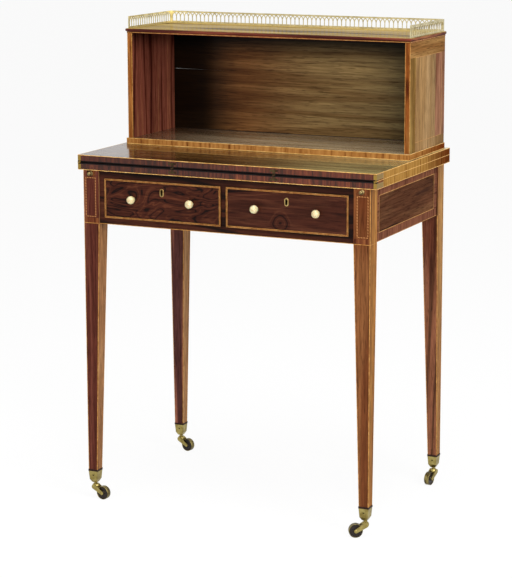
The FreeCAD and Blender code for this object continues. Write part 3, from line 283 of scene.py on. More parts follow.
# The back right leg darkens towards its top, as painted shade under the table. The front right leg darkens a
# little towards its head.
leg_darkening = {"front_right": [(UP, 0.62, 0.56, "#e2d4d0")], "back_right": [(UP, 0.56, 0.38, "#c6b0b0")]}
for corner in corners:
    tones, lit_side_tones = leg_tones[corner]
    front = dict(grain=UP, tones=tones, rings=7, swirl=0.2, length=0.04, darkening=leg_darkening.get(corner, ()))
    side = dict(grain=UP, tones=lit_side_tones, rings=6, swirl=0.2, length=0.04, shift=(0.3, 0.1, 0))
    cover(rosewood("rosewood_leg_" + corner, front, {(ACROSS, 0): side}, shine=0.02), "leg_" + corner)
line_wood = boxwood("boxwood_stringing", ("#845628", "#9e7038", "#b2864c"))
# The edging is the same boxwood in paler tones: painted light, for the lines of the leaves and the plinth.
lit_edge_wood = boxwood("lit_boxwood_edging", ("#a8793c", "#c79a56", "#d8b070"))
rope_wood = roped("roped_stringing")

# Lines stand proud of the wood by a tenth of a millimetre, and bandings by a little less.
line_width = 1.3 * mm
proud = 0.12 * mm
band_proud = 0.8 * proud
frieze_low, frieze_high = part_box("rail_bottom_front")[0].z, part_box("rail_top_front")[1].z
collar_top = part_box("leg_collars")[1].z
leg_taper = 15 * mm
head_line = 1 * mm

for corner in corners:
    low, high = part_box("leg_" + corner)
    mesh = bmesh.new()
    right, back = "right" in corner, "back" in corner
    for at_right in (False, True):
        for at_back in (False, True):
            inner_x, inner_y = at_right != right, at_back != back
            x = high.x + proud - line_width if at_right else low.x - proud
            y = high.y + proud - line_width if at_back else low.y - proud
            lean_x = (leg_taper if at_right else -leg_taper) * inner_x
            lean_y = (leg_taper if at_back else -leg_taper) * inner_y
            strip(mesh, (x - lean_x, y - lean_y, collar_top),
                  (x - lean_x + line_width, y - lean_y + line_width, frieze_low), (lean_x, lean_y))
            if not inner_x and not inner_y:
                strip(mesh, (x, y, frieze_low), (x + line_width, y + line_width, frieze_high))
    near, far = skin(high.x if right else low.x, proud)
    strip(mesh, (near, low.y + line_width, frieze_low), (far, high.y - line_width, frieze_low + head_line))
    settle(mesh, "leg_lines_" + corner, "table", "golden_rosewood", line_wood)


def frame_strips(mesh, low, high, face, width, out, kinds=(0, 0)):
    """Four strips round a panel on a face that looks along Y or X, out being how far and which way they
    stand; low and high are its outer corners, and kinds the materials of the level and the upright ones."""
    along = ACROSS if face == DEEP else DEEP
    for axis, at in ((UP, low), (UP, high), (along, low), (along, high)):
        near, far = list(low), list(high)
        if at is low:
            far[axis] = low[axis] + width
        else:
            near[axis] = high[axis] - width
        if axis == along:
            near[UP] += width
            far[UP] -= width
        near[face], far[face] = sorted((low[face], low[face] + out))
        strip(mesh, near, far, kind=kinds[axis == along])


# On the head of a front leg: a roped panel, set in from the four edges, over a dark band and a line.
rope_width = 1.5 * mm
rope_outside, rope_inside, rope_below, rope_above = 4.5 * mm, 7 * mm, 14 * mm, 15 * mm
foot_line, foot_band = 1.2 * mm, 12 * mm
band_dark = banding("dark_cross_banding", UP, ("#32180e", "#562c1c", "#744628"))
for side in ("left", "right"):
    low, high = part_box("leg_front_" + side)
    at_left, at_right = (rope_outside, rope_inside) if side == "left" else (rope_inside, rope_outside)
    mesh = bmesh.new()
    frame_strips(mesh, (low.x + at_left, low.y, frieze_low + rope_below),
                 (high.x - at_right, low.y, frieze_high - rope_above), DEEP, rope_width, -proud)
    settle(mesh, "leg_head_ropes_" + side, "table", "golden_rosewood", rope_wood)
    mesh = bmesh.new()
    x_low, x_high, line_top = low.x + line_width, high.x - line_width, frieze_low + foot_line
    strip(mesh, (x_low, low.y - proud, frieze_low), (x_high, low.y, line_top))
    strip(mesh, (x_low, low.y - proud, line_top), (x_high, low.y, frieze_low + foot_band), kind=1)
    settle(mesh, "leg_head_banding_" + side, "table", "golden_rosewood", line_wood, band_dark)

# ---- Collars and caster sockets
# A square ring of ebonised wood finishes each leg. Below it a cast brass cup is driven on the leg's tenon and
# held by a countersunk steel screw through its front.


def ebonised(name, tones):
    """Ebonised wood: black stain under wax, with a grain about 4 mm wide just felt."""
    material, tree, place = open_material(name)
    grain = add(tree, "TexNoise", {"Vector": place, "Scale": 260, "Detail": 3})
    colour = add(tree, "ValToRGB", {"Fac": grain}, list(zip((0.3, 0.7), tones)))
    close_material(tree, colour, 0.45, grain, 0.03 * mm, Specular_IOR_Level=0.08)
    return material


def brass(name, bright, dull, roughness, tarnish=0.5, outer_tone=None):
    """Brass with its lacquer gone: warm where hands and cloths reach it, and brown in patches 11 mm wide.

    outer_tone is (axis, distance, colour): beyond that distance from the middle the brass takes that colour.
    The scratches of the cloth are 0.7 mm apart.
    """
    material, tree, place = open_material(name)
    cloud = add(tree, "TexNoise", {"Vector": place, "Scale": 90, "Detail": 4, "Roughness": 0.6})
    stops = [(tarnish - 0.15, dull), (tarnish + 0.15, bright)]
    colour = add(tree, "ValToRGB", {"Fac": cloud}, stops)
    if outer_tone:
        axis, start, tone = outer_tone
        out = add(tree, "SeparateXYZ", {"Vector": place}, out=axis)
        out = add(tree, "Math", {0: out}, operation="ABSOLUTE")
        share = add(tree, "Math", {0: out, 1: start}, operation="GREATER_THAN")
        colour = add(tree, "Mix", {0: share, 6: colour, 7: linear(tone)}, **paint)
    scratch = add(tree, "TexNoise", {"Vector": place, "Scale": 1400, "Detail": 2})
    rough = add(tree, "MapRange", {"Value": cloud, "To Min": roughness + 0.14, "To Max": roughness})
    close_material(tree, colour, rough, scratch, 0.01 * mm, Metallic=1.0)
    return material


def steel(name, tones):
    """Filed steel, darkened by handling: grey, with marks 2 mm long that break its shine."""
    material, tree, place = open_material(name)
    mark = add(tree, "TexNoise", {"Vector": place, "Scale": 500, "Detail": 3})
    colour = add(tree, "ValToRGB", {"Fac": mark}, list(zip((0.3, 0.7), tones)))
    close_material(tree, colour, 0.42, mark, 0.01 * mm, Metallic=1.0)
    return material


cover(ebonised("ebonised_collars", ("#1a100d", "#33201a")), "leg_collars")
cast_brass = brass("aged_cast_brass", "#a99a5e", "#7e6e3a", 0.3)
cover(cast_brass, "caster_sockets")
cover(steel("blued_steel", ("#0a0807", "#1a1613")), "socket_screws")

# ---- Casters
# A cast brass fork turns in each socket on a riveted stem. Its wheel is turned from dark hardwood with a
# brass tyre, and runs on a pin that is riveted over in the two cheeks of the fork.

joints = {joint["name"]: joint for joint in frame["record"]["behaviour"]["joints"]}


def unique(items):
    """Each item once, in the order in which they come, so that every run makes the same mesh."""
    return list(dict.fromkeys(items))


def lathe(mesh, outline, centre, axis, steps=32, kind=0):
    """Turn an outline about an axis through centre.

    Its points are (distance from the axis, height along it). A point of four numbers is an arc instead: it
    swings on from the last point about (distance, height), by so many degrees and in so many steps. An
    outline that ends where it starts is closed.
    """
    axis = Vector(axis).normalized()
    aside = axis.orthogonal().normalized()
    centre = Vector(centre)
    edges, last = [], None
    for first, second, *arc in outline:
        place = centre + aside * first + axis * second
        if arc:
            degrees, count = arc
            before = set(mesh.edges)
            swung = bmesh.ops.spin(mesh, geom=[last], cent=place, axis=aside.cross(axis),
                                   angle=math.radians(degrees), steps=count)
            edges += [edge for edge in mesh.edges if edge not in before]
            last = next(item for item in swung["geom_last"] if isinstance(item, bmesh.types.BMVert))
        else:
            vert = mesh.verts.new(place)
            if last is not None:
                edges.append(mesh.edges.new((last, vert)))
            last = vert
    before = set(mesh.faces)
    bmesh.ops.spin(mesh, geom=edges, cent=centre, axis=axis, angle=math.tau, steps=steps, use_merge=True)
    made = [surface for surface in mesh.faces if surface not in before]
    for surface in made:
        surface.material_index = kind
    verts = unique(vert for surface in made for vert in surface.verts)
    bmesh.ops.remove_doubles(mesh, verts=verts, dist=0.001 * mm)


def both_ways(half):
    """A closed outline from its lower half, with the upper half its mirror image."""
    return half + [(radius, -height) for radius, height in reversed(half)] + half[:1]


def cheek(mesh, start, stop, start_radius, stop_radius, near, far):
    """A flat strap with round ends between two places in XZ, and between two depths in Y."""
    verts = []
    for (x, z), radius in ((start, start_radius), (stop, stop_radius)):
        for y in (near, far):
            turn = Matrix.Translation((x, y, z)) @ Matrix.Rotation(math.radians(90), 4, "X")
            verts += bmesh.ops.create_circle(mesh, segments=20, radius=radius, matrix=turn)["verts"]
    hull = bmesh.ops.convex_hull(mesh, input=verts)
    spare = unique(item for item in hull["geom_interior"] + hull["geom_unused"]
                   if isinstance(item, bmesh.types.BMVert))
    bmesh.ops.delete(mesh, geom=spare, context="VERTS")
    kept = [vert for vert in verts if vert.is_valid]
    edges = unique(edge for vert in kept for edge in vert.link_edges)
    bmesh.ops.dissolve_limit(mesh, angle_limit=math.radians(1), verts=kept, edges=edges)


def blackened(name):
    """Hardwood turned black with oil and dirt: dull in pores 3 mm apart, and rubbed to a shine between."""
    material, tree, place = open_material(name)
    grit = add(tree, "TexNoise", {"Vector": place, "Scale": 320, "Detail": 4})
    colour = add(tree, "ValToRGB", {"Fac": grit}, [(0.3, "#100c0b"), (0.7, "#2a211d")])
    close_material(tree, colour, 0.32, grit, 0.04 * mm, Specular_IOR_Level=0.2)
    return material


wheel_wood = blackened("blackened_hardwood")
tyre_brass = brass("floor_worn_brass", "#8a7c4a", "#463c24", 0.34)
wheel_radius, wheel_half, axle_radius = 14.5 * mm, 5.5 * mm, 1.85 * mm
hub_radius, hub_round, hub_slope, web_sunk = 4.6 * mm, 0.7 * mm, 0.4 * mm, 1.4 * mm
tyre_inner, tyre_sunk, tyre_wall, tyre_round = 13.2 * mm, 0.4 * mm, 0.5 * mm, 0.6 * mm
wheel_outline = both_ways([
    (axle_radius, -wheel_half), (hub_radius - hub_round, -wheel_half), (hub_radius, hub_round - wheel_half),
    (hub_radius + hub_slope, web_sunk - wheel_half), (tyre_inner, web_sunk - wheel_half)])
tyre_outline = both_ways([
    (tyre_inner, tyre_sunk - wheel_half), (tyre_inner + tyre_wall, -wheel_half),
    (wheel_radius - tyre_round, -wheel_half), (wheel_radius, tyre_round - wheel_half)])

fork_top, plate_radius, plate_edge, plate_height = 35.8 * mm, 5 * mm, 0.6 * mm, 1.4 * mm
crown_middle, crown_radius, neck_radius = 26.4 * mm, 7.8 * mm, 3.6 * mm
crown_start = math.sqrt(crown_radius ** 2 - neck_radius ** 2)
crown_arc = -90 - math.degrees(math.atan2(crown_start, neck_radius))
cheek_near, cheek_far, cheek_head, cheek_foot = 5.9 * mm, 8.3 * mm, 5.2 * mm, 3.9 * mm
rivet_radius, rivet_edge, rivet_slope, rivet_rise = 2.8 * mm, 0.3 * mm, 0.9 * mm, 0.7 * mm
pin_radius, stem_radius, stem_top = 1.8 * mm, 3 * mm, 43 * mm

for corner in corners:
    swivel = joints["caster_swivel_" + corner]
    roll = joints["caster_roll_" + corner]
    hub = Vector(roll["pos_m"])
    mesh = bmesh.new()
    lathe(mesh, wheel_outline, hub, roll["axis"])
    lathe(mesh, tyre_outline, hub, roll["axis"], steps=48, kind=1)
    wheel = settle(mesh, "wheel_" + corner, "wheel_" + corner, "blackened_wood", wheel_wood, tyre_brass)
    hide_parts("caster_wheel_" + corner)

    # The fork is made about its own stem with the wheel along X, and turned into place at the end.
    mesh = bmesh.new()
    lathe(mesh, [(0, fork_top), (plate_radius, fork_top), (plate_radius, fork_top - plate_edge),
                 (neck_radius, fork_top - plate_height), (neck_radius, crown_middle + crown_start),
                 (0, crown_middle, crown_arc, 12)], (0, 0, 0), (0, 0, 1))
    stem = Vector(swivel["pos_m"])
    reach = (hub - Vector((stem.x, stem.y, hub.z))).length
    for side in (LEFT, RIGHT):
        near, far = sorted((side * cheek_near, side * cheek_far))
        cheek(mesh, (0, crown_middle), (reach, hub.z), cheek_head, cheek_foot, near, far)
        lathe(mesh, [(rivet_radius, 0), (rivet_radius, rivet_edge), (rivet_radius - rivet_slope, rivet_rise),
                     (0, rivet_rise)], (reach, side * cheek_far, hub.z), (0, side, 0), steps=20)
    lathe(mesh, [(0, -cheek_near), (pin_radius, -cheek_near), (pin_radius, cheek_near), (0, cheek_near)],
          (reach, 0, hub.z), (0, 1, 0), steps=16)
    lathe(mesh, [(0, fork_top), (stem_radius, fork_top), (stem_radius, stem_top), (0, stem_top)], (0, 0, 0),
          (0, 0, 1), steps=16)
    way = hub - stem
    turn = Matrix.Translation((stem.x, stem.y, 0)) @ Matrix.Rotation(math.atan2(way.y, way.x), 4, "Z")
    bmesh.ops.transform(mesh, matrix=turn, verts=mesh.verts)
    fork = settle(mesh, "fork_" + corner, "fork_" + corner, "brass", cast_brass)
    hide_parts("caster_fork_" + corner)

# ---- Frieze
# Rails, stiles and aprons are veneered in rosewood and stand 3 mm behind the legs. The aprons carry a
# stringing panel inside a cross-banded border, and a boxwood line runs along the bottom edge all round.

frieze_tones = ("#1e0f0a", "#422014", "#562f1e")
# The rails, stiles and partition are painted darker over their top 18 mm: painted shade under the leaves.
rail_shade = 18 * mm
apron_look = dict(grain=DEEP, tones=("#463026", "#7c5036", "#946846"), shift=(0, 0.3, 0.2), rings=5)
rail_look = dict(grain=ACROSS, tones=frieze_tones, shift=(0.2, 0, 0), rings=8,
                 darkening=[(UP, frieze_high, frieze_high - rail_shade, "#8c8688")])
back_look = dict(grain=ACROSS, tones=frieze_tones, shift=(0.7, 0, 0))
cover(rosewood("rosewood_aprons", apron_look, shine=0.0), "apron_left", "apron_right")
cover(rosewood("rosewood_rails", rail_look), "rail_top_front", "rail_bottom_front", "frieze_stiles",
      "drawer_partition")
cover(rosewood("rosewood_back_apron", back_look), "apron_back")

low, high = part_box("rail_bottom_front")
mesh = bmesh.new()
strip(mesh, (low.x, low.y - proud, low.z), (high.x, low.y, low.z + line_width))
settle(mesh, "rail_line", "table", "golden_rosewood", line_wood)

apron_tones = ("#3a2018", "#623c2d", "#7a4e38")
apron_level = banding("apron_banding_level", UP, apron_tones)
apron_upright = banding("apron_banding_upright", DEEP, apron_tones)
panel_front, panel_back, panel_foot, panel_top = 17 * mm, 16 * mm, 16 * mm, 19 * mm
for side in ("left", "right"):
    low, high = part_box("apron_" + side)
    face = low.x if side == "left" else high.x
    line_top = low.z + line_width
    panel_low = Vector((face, low.y + panel_front, line_top + panel_foot))
    panel_high = Vector((face, high.y - panel_back, high.z - panel_top))
    mesh = bmesh.new()
    frame_strips(mesh, panel_low, panel_high, ACROSS, line_width, math.copysign(proud, face))
    near, far = skin(face, proud)
    strip(mesh, (near, low.y, low.z), (far, high.y, line_top))
    settle(mesh, "apron_lines_" + side, "table", "golden_rosewood", line_wood)
    mesh = bmesh.new()
    near, far = skin(face, band_proud)
    strip(mesh, (near, low.y, line_top), (far, high.y, panel_low.z))
    strip(mesh, (near, low.y, panel_high.z), (far, high.y, high.z))
    strip(mesh, (near, low.y, panel_low.z), (far, panel_low.y, panel_high.z), kind=1)
    strip(mesh, (near, panel_high.y, panel_low.z), (far, high.y, panel_high.z), kind=1)
    settle(mesh, "apron_banding_" + side, "table", "golden_rosewood", apron_level, apron_upright)

# ---- Inside of the frieze
# Runners, kickers, stops and loper guides are planed oak, glued and nailed inside, and never polished.


def oak(name, grain):
    """Planed oak: tan growth bands 14 mm wide, open pores as dark dashes 1 mm wide, and a dry surface."""
    material, tree, place = open_material(name)
    board = add(tree, "Mapping", {"Vector": place, "Scale": drawn_out(grain, 0.06)})
    growth = add(tree, "TexNoise", {"Vector": board, "Scale": 70, "Detail": 4})
    stops = [(0.3, "#8a6a44"), (0.5, "#ab8858"), (0.7, "#bf9c6a")]
    colour = add(tree, "ValToRGB", {"Fac": growth}, stops)
    pore = add(tree, "TexNoise", {"Vector": board, "Scale": 900, "Detail": 1})
    holes = add(tree, "ValToRGB", {"Fac": pore}, [(0.34, "#5a4838"), (0.44, "#ffffff")])
    colour = add(tree, "Mix", {0: 0.7, 6: colour, 7: holes}, **stain)
    close_material(tree, colour, 0.7, holes, 0.06 * mm)
    return material


oak_deep = oak("oak_planed_lengthwise", DEEP)
oak_across = oak("oak_planed_crosswise", ACROSS)
cover(oak_deep, "drawer_runners", "drawer_kickers", "loper_guides")
cover(oak_across, "drawer_stops")

# ---- Lopers
# Two rosewood slides run in the tops of the front legs. Each is drawn out by a small turned brass knob.


def front_knob(mesh, seat, tenon, foot, neck, ball, arc_steps, steps):
    """A knob turned in one piece, standing out to the front from its seat.

    tenon is its radius and length, foot its radius and rounding, and neck its radius, start and end. ball
    is how far out the middle of the ball stands.
    """
    tenon_radius, tenon_length = tenon
    foot_radius, rounding = foot
    radius, start, end = neck
    rise = math.degrees(math.atan2(ball - end, radius))
    lathe(mesh, [(0, -tenon_length), (tenon_radius, -tenon_length), (tenon_radius, 0), (foot_radius, 0),
                 (foot_radius, rounding), (foot_radius - rounding, 2 * rounding), (radius, start),
                 (radius, end), (0, ball, 90 + rise, arc_steps)], seat, (0, -1, 0), steps)


loper_side = dict(grain=DEEP, tones=frieze_tones, shift=(0.1, 0.1, 0.4))
loper_end = dict(grain=UP, tones=leg_tones["front_right"][0], rings=5, length=0.3)
cover(rosewood("rosewood_lopers", loper_side, {(DEEP, 0): loper_end}), "loper_left", "loper_right")
knob_brass = brass("aged_turned_brass", "#86744c", "#52442a", 0.3)
loper_ball = 4.4 * mm
for side in ("left", "right"):
    low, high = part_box("loper_knob_" + side)
    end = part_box("loper_" + side)[0].y
    mesh = bmesh.new()
    front_knob(mesh, ((low.x + high.x) / 2, end, (low.z + high.z) / 2), tenon=(1.6 * mm, 6 * mm),
               foot=(4.8 * mm, 0.7 * mm), neck=(2 * mm, 2 * mm, 3.6 * mm), ball=end - low.y - loper_ball,
               arc_steps=12, steps=24)
    pull = settle(mesh, "loper_pull_" + side, "loper_" + side, "brass", knob_brass)
    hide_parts("loper_knob_" + side)

# ---- Drawers
# Oak boxes with lapped fronts, veneered in well figured rosewood inside a golden cross-band between two
# boxwood lines. Each has two turned ivory knobs, a brass keyhole ring and a brass lock with a steel bolt.

drawer_looks = {
    "left": dict(grain=ACROSS, tones=("#1c0e0a", "#482317", "#603422"), shift=(0.07, 0, 0.03), rings=16,
                 swirl=1.4, length=0.45),
    "right": dict(grain=ACROSS, tones=("#200f0a", "#482418", "#5a3222"), shift=(0.52, 0, 0.1), rings=10,
                  swirl=0.4, length=0.14, knot=((0.128, -0.2018, 0.639), 0.026)),
}
band_level = banding("golden_banding_level", UP)
band_upright = banding("golden_banding_upright", ACROSS)
fine_line = 0.8 * mm
band_width = 1.5 * mm


def ivory(name):
    """Turned ivory: warm cream, polished, with faint clouds 7 mm wide and a little light passing through."""
    material, tree, place = open_material(name)
    cloud = add(tree, "TexNoise", {"Vector": place, "Scale": 150, "Detail": 3})
    colour = add(tree, "ValToRGB", {"Fac": cloud}, [(0.3, "#ac9c6e"), (0.7, "#c6b992")])
    close_material(tree, colour, 0.24, cloud, 0.01 * mm, Subsurface_Weight=0.15, Coat_Weight=0.3,
                   Coat_Roughness=0.05)
    return material


def front_frame(mesh, low, high, margin, width, out, kinds=(0, 0)):
    """Four strips round the front of a drawer, set in from its edges by a margin."""
    near = (low.x + margin, low.y, low.z + margin)
    far = (high.x - margin, low.y, high.z - margin)
    frame_strips(mesh, near, far, DEEP, width, -out, kinds)


def keyhole_ring(mesh, middle, loops):
    """An upright oval ring through loops of (half width, half height, depth), closed from last to first."""
    rings = []
    for half_width, half_height, depth in loops:
        turn = Matrix.Translation((middle.x, depth, middle.z)) @ Matrix.Rotation(math.radians(90), 4, "X")
        made = bmesh.ops.create_circle(mesh, segments=32, radius=half_width,
                                       matrix=turn @ Matrix.Rotation(math.tau / 64, 4, "Z"))["verts"]
        for vert in made:
            vert.co.z += math.copysign(half_height - half_width, vert.co.z - middle.z)
        rings.append(unique(edge for vert in made for edge in vert.link_edges))
    for ring, following in zip(rings, rings[1:] + rings[:1]):
        bmesh.ops.bridge_loops(mesh, edges=ring + following)


knob_ivory = ivory("turned_ivory")
bolt_steel = steel("filed_steel", ("#2c2824", "#5a5248"))
worn_brass = brass("worn_brass", "#c0a468", "#8a6e40", 0.3)
ball_radius = 8.6 * mm
ring_wall, ring_edge, ring_slope = 2.8 * mm, 0.4 * mm, 0.5 * mm
for side in ("left", "right"):
    body = "drawer_" + side
    cover(rosewood("rosewood_drawer_" + side, drawer_looks[side]), "drawer_front_" + side)
    cover(oak_deep, "drawer_sides_" + side)
    cover(oak_across, "drawer_back_" + side, "drawer_bottom_" + side)
    cover(knob_brass, "lock_" + side)
    cover(bolt_steel, "lock_bolt_" + side)
    low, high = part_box("drawer_front_" + side)
    mesh = bmesh.new()
    for margin in (0, fine_line + band_width):
        front_frame(mesh, low, high, margin, fine_line, proud)
    settle(mesh, "drawer_lines_" + side, body, "golden_rosewood", line_wood)
    mesh = bmesh.new()
    front_frame(mesh, low, high, fine_line, band_width, band_proud, kinds=(0, 1))
    settle(mesh, "drawer_banding_" + side, body, "golden_rosewood", band_level, band_upright)

    knobs_low, knobs_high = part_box("drawer_knobs_" + side)
    mesh = bmesh.new()
    for x in (knobs_low.x + ball_radius, knobs_high.x - ball_radius):
        front_knob(mesh, (x, low.y, (knobs_low.z + knobs_high.z) / 2), tenon=(3 * mm, 8 * mm),
                   foot=(5.2 * mm, 0.6 * mm), neck=(3.6 * mm, 1.4 * mm, 1.8 * mm),
                   ball=low.y - knobs_low.y - ball_radius, arc_steps=16, steps=40)
    pulls = settle(mesh, "drawer_pulls_" + side, body, "ivory", knob_ivory)
    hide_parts("drawer_knobs_" + side)

    ring_low, ring_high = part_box("escutcheon_" + side)
    half = (ring_high - ring_low) / 2
    section = ((0, ring_high.y), (0, ring_low.y + ring_edge), (ring_slope, ring_low.y),
               (ring_wall - ring_edge, ring_low.y), (ring_wall, ring_low.y + ring_edge),
               (ring_wall, ring_high.y))
    mesh = bmesh.new()
    keyhole_ring(mesh, (ring_low + ring_high) / 2,
                 [(half.x - inward, half.z - inward, depth) for inward, depth in section])
    lining = settle(mesh, "keyhole_ring_" + side, body, "brass", worn_brass)
    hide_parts("escutcheon_" + side)

# ---- Writing leaves
# The fixed leaf, the flap over it and the platform behind are rosewood boards with cross-banded edges and
# boxwood lines. Leather is let into the two faces that meet, and brass plates carry the flap's knuckles.

leaf_top = dict(grain=ACROSS, tones=("#928457", "#ccbf80", "#d6ca92"), shift=(0.31, 0.2, 0), rings=5,
                length=0.06, darkening=[(ACROSS, -0.05, 0.32, "#987462")])
front_band = dict(grain=UP, tones=("#42200f", "#5e2a18", "#743c20"), rings=34, swirl=0.0, length=0.08)
side_band = dict(grain=UP, tones=("#9a5c28", "#bc7e38", "#d09446"), rings=6, swirl=0.1, length=0.5,
                 darkening=[(DEEP, 0.2, -0.08, "#ae8274")])
cover(rosewood("rosewood_leaves", leaf_top, {(DEEP, 0): front_band, (ACROSS, 0): side_band}, gloss=0.24,
               film=0.55), "fixed_leaf", "flap_leaf", "platform")


def leather(name):
    """Smooth hide, red-brown, with a pebble 1.1 mm wide and a rubbed sheen."""
    material, tree, place = open_material(name)
    pebble = add(tree, "TexVoronoi", {"Vector": place, "Scale": 900})
    wear = add(tree, "TexNoise", {"Vector": place, "Scale": 8, "Detail": 5})
    colour = add(tree, "ValToRGB", {"Fac": wear}, [(0.3, "#38160f"), (0.7, "#56261a")])
    close_material(tree, colour, 0.5, pebble, 0.1 * mm, Specular_IOR_Level=0.2)
    return material


cover(leather("smooth_hide"), "fixed_leaf_lining", "flap_lining")
cover(brass("aged_plate_brass", "#54442c", "#30241a", 0.4, tarnish=0.54, outer_tone=(ACROSS, 0.3, "#927638")),
      "hinge_plates_lower", "hinge_plates_upper")


def end_strips(mesh, board, low, high, out, depth=0.0, setback=0.0):
    """A strip on each end of a board, between two heights and from a setback behind its front."""
    for face in (board[0].x, board[1].x):
        near, far = skin(face, out, depth)
        strip(mesh, (near, board[0].y + setback, low), (far, board[1].y, high))


# A strip on an end of a leaf stands less proud, because the leaves are the widest part of the piece.
end_proud = 0.02 * mm
end_band_proud = 0.8 * end_proud
leaf_line = 1.1 * mm
rounding = 3.2 * mm
flap, fixed, platform = (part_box(name) for name in ("flap_leaf", "fixed_leaf", "platform"))
slip_wood = banding("golden_slips", UP)
slip_start = 6 * mm
for name, body, low in (("flap_end_slips", "flap", flap[0].z),
                        ("fixed_leaf_end_slips", "table", fixed[1].z - rounding)):
    mesh = bmesh.new()
    end_strips(mesh, flap, low, low + rounding, 0, depth=rounding, setback=slip_start)
    settle(mesh, name, body, "golden_rosewood", slip_wood)

mesh = bmesh.new()
low, high = fixed[0].z, fixed[0].z + leaf_line
strip(mesh, (fixed[0].x, fixed[0].y - proud, low), (fixed[1].x, fixed[0].y, high))
end_strips(mesh, fixed, low, high, end_proud)
settle(mesh, "fixed_leaf_line", "table", "golden_rosewood", lit_edge_wood)

# The top arris of the flap and of the platform is a line that shows from above too, narrower there. A second
# line runs along their ends, just above the joint between the leaves.
front_depth, end_depth = 0.6 * leaf_line, 0.8 * leaf_line
joint_line = flap[0].z + 0.2 * mm
for name, body, board, out in (("flap_lines", "flap", flap, proud),
                               ("platform_lines", "table", platform, 0)):
    mesh = bmesh.new()
    low, high = board[1].z - leaf_line, board[1].z + proud / 2
    strip(mesh, (board[0].x, board[0].y - out, low), (board[1].x, board[0].y + front_depth, high))
    end_strips(mesh, board, low, high, end_proud, depth=end_depth)
    end_strips(mesh, board, joint_line, joint_line + leaf_line, end_proud)
    settle(mesh, name, body, "golden_rosewood", lit_edge_wood)

# Behind the corner plates the ends are cross-banded in golden wood, gone red towards the wall.
end_wood = banding("golden_end_banding", UP, ("#66421e", "#8a6430", "#a07a40"),
                   darkening=[(DEEP, 0.21, 0.02, "#a0746c")])
corner_plate = 35.5 * mm
for name, body, boards in (("flap_end_banding", "flap", [(flap, corner_plate)]),
                           ("table_end_banding", "table", [(fixed, corner_plate), (platform, 0)])):
    mesh = bmesh.new()
    for board, setback in boards:
        end_strips(mesh, board, board[0].z, board[1].z, end_band_proud, setback=setback)
    settle(mesh, name, body, "golden_rosewood", end_wood)

# The arrises that meet at the front are rounded to make room for the knuckles, and stained black. The
# black strips over them also stand for the shade in the gap between the leaves: painted shade.
joint_stain_and_shade = ebonised("black_joint_stain_and_shade", ("#070505", "#120b09"))
quirk_proud, quirk_depth, nearly = 0.08 * mm, 4.6 * mm, 0.001 * mm
for name, body, board, low, high in (
    ("fixed_leaf_quirk", "table", fixed, fixed[1].z - rounding, fixed[1].z + quirk_proud),
    ("flap_quirk", "flap", flap, flap[0].z - quirk_proud, flap[0].z + rounding),
):
    mesh = bmesh.new()
    front = board[0].y - quirk_proud
    strip(mesh, (board[0].x, front, low), (board[1].x, board[0].y + quirk_depth, high))
    met = high if board is fixed else low
    arris = [edge for edge in mesh.edges
             if all(abs(vert.co.y - front) < nearly and abs(vert.co.z - met) < nearly for vert in edge.verts)]
    bmesh.ops.bevel(mesh, geom=arris, offset=rounding - quirk_proud, segments=5, profile=0.5,
                    affect="EDGES", material=-1)
    settle(mesh, name, body, "blackened_wood", joint_stain_and_shade)

# ---- Plinth and platform dowels
# The plinth is the floor of the stage: polished rosewood on top, cross-banded in golden wood on its edges
# between two boxwood lines. Oak dowels locate it on the platform.


def round_strips(mesh, board, low, high, out):
    """A strip round the front and both ends of a board, between two heights."""
    strip(mesh, (board[0].x - out, board[0].y - out, low), (board[1].x + out, board[0].y, high))
    end_strips(mesh, board, low, high, out)


# The top is given very pale tones, as painted light against the shade inside the stage, and darkens towards
# its left end.
plinth_top = dict(grain=ACROSS, tones=("#ccb48c", "#efdab2", "#f2e2c0"), shift=(0.1, 0.5, 0.3), rings=4,
                  length=0.06, darkening=[(ACROSS, -0.32, 0.0, "#8c7468")])
plinth_edge = dict(grain=UP, tones=("#965628", "#b07838", "#cc9448"), rings=12, swirl=0.1, length=0.5)
cover(rosewood("rosewood_plinth", plinth_top, {(DEEP, 0): plinth_edge, (ACROSS, 0): plinth_edge},
               gloss=0.24, film=0.6), "plinth")
cover(oak_deep, "stage_dowels")
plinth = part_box("plinth")
low, high = plinth[0].z + leaf_line, plinth[1].z - leaf_line
mesh = bmesh.new()
round_strips(mesh, plinth, plinth[0].z, low, proud)
round_strips(mesh, plinth, high, plinth[1].z, proud)
settle(mesh, "plinth_lines", "table", "golden_rosewood", lit_edge_wood)
mesh = bmesh.new()
round_strips(mesh, plinth, low, high, band_proud)
settle(mesh, "plinth_banding", "table", "golden_rosewood",
       banding("golden_plinth_banding", UP, ("#5e3216", "#8c5c2c", "#a87840"),
               darkening=[(DEEP, 0.21, 0.02, "#b48878")]))

# ---- Upper stage
# Two upright sides, faded to gold outside and still red-brown inside, and three horizontal back boards. Each
# side has a stringing panel, a redder veneer behind, olive and orange veneers round it, and lined arrises.

outer_look = dict(grain=UP, tones=("#946a42", "#bc9562", "#cca876"), shift=(0.1, 0.1, 0.4), rings=5,
                  swirl=0.2, length=0.06)
